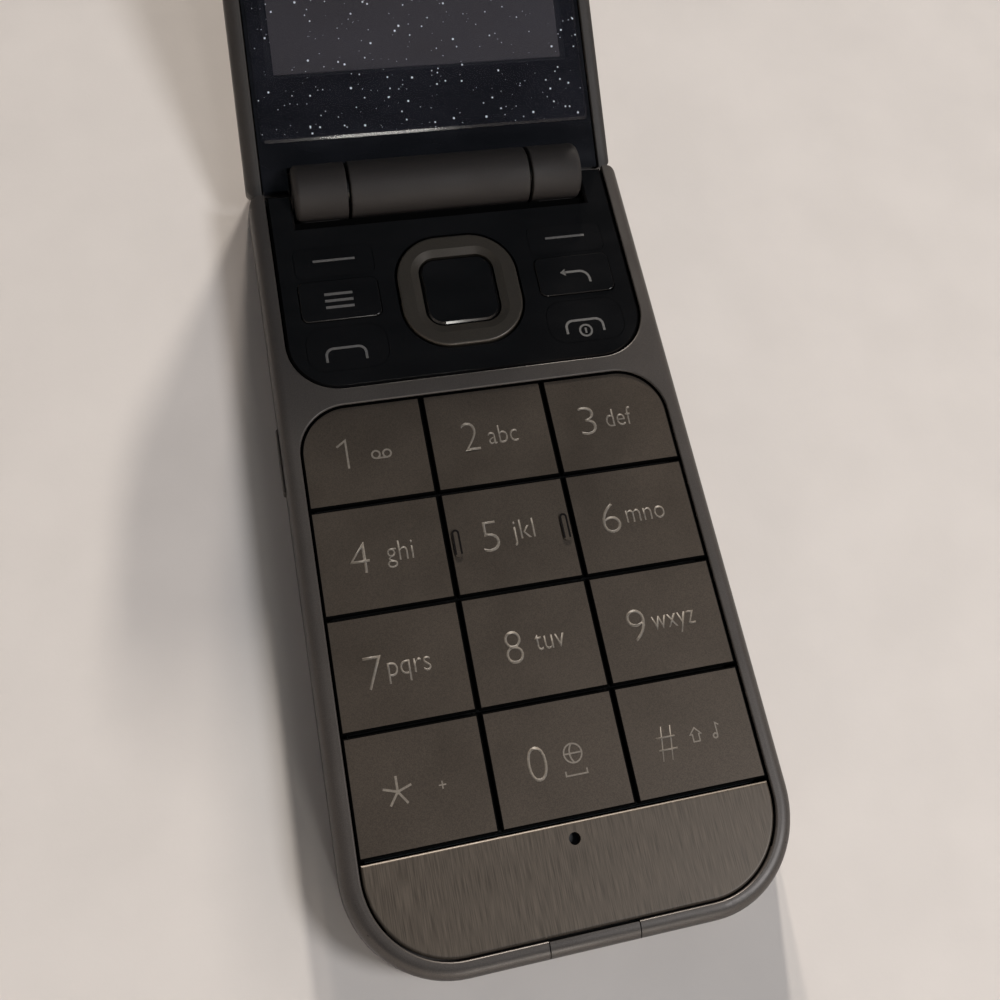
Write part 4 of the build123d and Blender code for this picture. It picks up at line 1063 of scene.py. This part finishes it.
class FLIPPHONE_OT_glass_dust(bpy.types.Operator):
    """Fine specks of dust on the main glass"""
    bl_idname = "flip_phone.glass_dust"
    bl_label = "Glass dust"

    def execute(self, context):
        sizes = context.scene.flip_phone_sizes
        material = moulded("Dust", (0.72, 0.78, 0.85), rough=0.7, bump=0.1)
        bm = bmesh.new()
        corners = [(-glass_half_width, glass_start), (glass_half_width, glass_start),
                   (glass_half_width, glass_end), (-glass_half_width, glass_end)]
        bm.faces.new([bm.verts.new((x * mm, y * mm, 0)) for x, y in corners])
        values = {"Density": sizes.dust_density / mm / mm, "Radius": sizes.dust_radius,
                  "Seed": dust_seed, "Material": material}
        mesh = run_nodes("glass_dust", mesh_from(bm, "glass_area"), dust_tree(), values)
        flatten = Matrix.Diagonal((1, 1, dust_flatness, 1))
        mesh.transform(lid_place @ Matrix.Translation((0, 0, glass_level * mm)) @ flatten)
        add_piece("glass_dust", mesh, "lid", material)
        return {"FINISHED"}


class FLIPPHONE_OT_sound_meshes(bpy.types.Operator):
    """Woven meshes in the earpiece slot and behind the loudspeaker slots"""
    bl_idname = "flip_phone.sound_meshes"
    bl_label = "Sound meshes"

    def execute(self, context):
        wire = brushed_metal("Mesh wire", (0.10, 0.10, 0.10), rough=0.4, metal=0.8,
                             stretch=(3, 3, 3), strength=0.1)
        tree = bar_row_tree()
        slot_middle = 95.6 * mm
        slot_floor = -2.4 * mm
        ear = lid_place @ Matrix.Translation((0, slot_middle, slot_floor))
        slot_size = (8.3 * mm, 1.05 * mm)
        wire_mesh("earpiece_mesh", *slot_size, ear, "lid", tree, wire)
        middle = centre_of("loudspeaker")
        cover_inside = 1.3 * mm
        speaker = Matrix.Translation((middle.x, middle.y, cover_inside))
        opening_size = (10 * mm, 9 * mm)
        wire_mesh("speaker_mesh", *opening_size, speaker, "base", tree, wire)
        return {"FINISHED"}


class FLIPPHONE_OT_camera_lens(bpy.types.Operator):
    """Stepped lens barrel under the camera window"""
    bl_idname = "flip_phone.camera_lens"
    bl_label = "Camera lens"

    def execute(self, context):
        material, tree, shader, place = shader_tree("Lens barrel")
        specks = grain(tree, place, scale=3000, detail=2.0)
        tone = colour_between(tree, specks, (0.006, 0.006, 0.008), (0.02, 0.02, 0.024))
        tree.links.new(tone, shader.inputs["Base Color"])
        shader.inputs["Roughness"].default_value = 0.22
        # Radius of each ring and its distance out from the lid's own plane, in millimetres
        profile = [(0, 4.6), (3.9, 4.6), (3.9, 9.7), (3.7, 9.85), (3.1, 9.85), (3.0, 9.55), (2.5, 9.5),
                   (2.4, 9.2), (1.9, 9.15), (1.8, 8.9), (1.4, 8.85), (1.3, 8.95), (1.0, 9.2), (0.5, 9.33),
                   (0, 9.36)]
        rings = [(radius * mm, depth * mm) for radius, depth in profile]
        camera_middle = 24.5 * mm
        outward = Matrix.Translation((0, camera_middle, 0)) @ Matrix.Rotation(pi, 4, "X")
        mesh = turned(rings, lid_place @ outward, "camera_lens")
        piece = add_piece("camera_lens", mesh, "lid", material)
        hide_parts("camera_module")
        return {"FINISHED"}


class FLIPPHONE_OT_port_contacts(bpy.types.Operator):
    """Gilt contacts on the tongue of the charging port"""
    bl_idname = "flip_phone.port_contacts"
    bl_label = "Port contacts"

    def execute(self, context):
        gilt = brushed_metal("Contact gilt", (0.65, 0.46, 0.18), rough=0.25, metal=1.0,
                             stretch=(2, 2, 2), strength=0.1)
        row_width = 4.0 * mm
        length = 4.2 * mm
        pitch = 0.8 * mm
        radius = 0.12 * mm
        mesh = bar_row(row_width, length, pitch, radius, bar_row_tree(), gilt)
        middle = centre_of("charging_port")
        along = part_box("charging_port")[0].y + 2.4 * mm
        tongue_top = middle.z + 0.32 * mm
        mesh.transform(Matrix.Translation((middle.x, along, tongue_top)))
        add_piece("port_contacts", mesh, "base", gilt)
        return {"FINISHED"}


class FLIPPHONE_PT_panel(bpy.types.Panel):
    """Steps that dress the flip phone, and its colours and sizes"""
    bl_idname = "FLIPPHONE_PT_panel"
    bl_label = "Flip phone"
    bl_space_type = "VIEW_3D"
    bl_region_type = "UI"
    bl_category = "Flip phone"

    def draw(self, context):
        for settings in (context.scene.flip_phone_colours, context.scene.flip_phone_sizes):
            for name in settings.bl_rna.properties.keys():
                if name not in ("rna_type", "name"):
                    self.layout.prop(settings, name)
        for step in steps:
            self.layout.operator(step.bl_idname)


steps = (
    FLIPPHONE_OT_stage,
    FLIPPHONE_OT_housing,
    FLIPPHONE_OT_number_keys,
    FLIPPHONE_OT_chin_plate,
    FLIPPHONE_OT_gloss_pieces,
    FLIPPHONE_OT_ring,
    FLIPPHONE_OT_barrel,
    FLIPPHONE_OT_glass,
    FLIPPHONE_OT_inner_metal,
    FLIPPHONE_OT_inner_parts,
    FLIPPHONE_OT_finger_dirt_and_shade,
    FLIPPHONE_OT_key_marks,
    FLIPPHONE_OT_function_marks,
    FLIPPHONE_OT_main_screen,
    FLIPPHONE_OT_glass_dust,
    FLIPPHONE_OT_sound_meshes,
    FLIPPHONE_OT_camera_lens,
    FLIPPHONE_OT_port_contacts,
)
classes = (FlipPhoneColours, FlipPhoneSizes, *steps, FLIPPHONE_PT_panel)


def register():
    """Make the classes and their settings known."""
    for cls in classes:
        bpy.utils.register_class(cls)
    bpy.types.Scene.flip_phone_colours = bpy.props.PointerProperty(type=FlipPhoneColours)
    bpy.types.Scene.flip_phone_sizes = bpy.props.PointerProperty(type=FlipPhoneSizes)


def unregister():
    """Take the settings and the classes away again."""
    del bpy.types.Scene.flip_phone_sizes
    del bpy.types.Scene.flip_phone_colours
    for cls in reversed(classes):
        bpy.utils.unregister_class(cls)


def main():
    """Dress the phone step by step."""
    register()
    for step in steps:
        group, name = step.bl_idname.split(".")
        getattr(getattr(bpy.ops, group), name)()


if __name__ == "__main__":
    main()
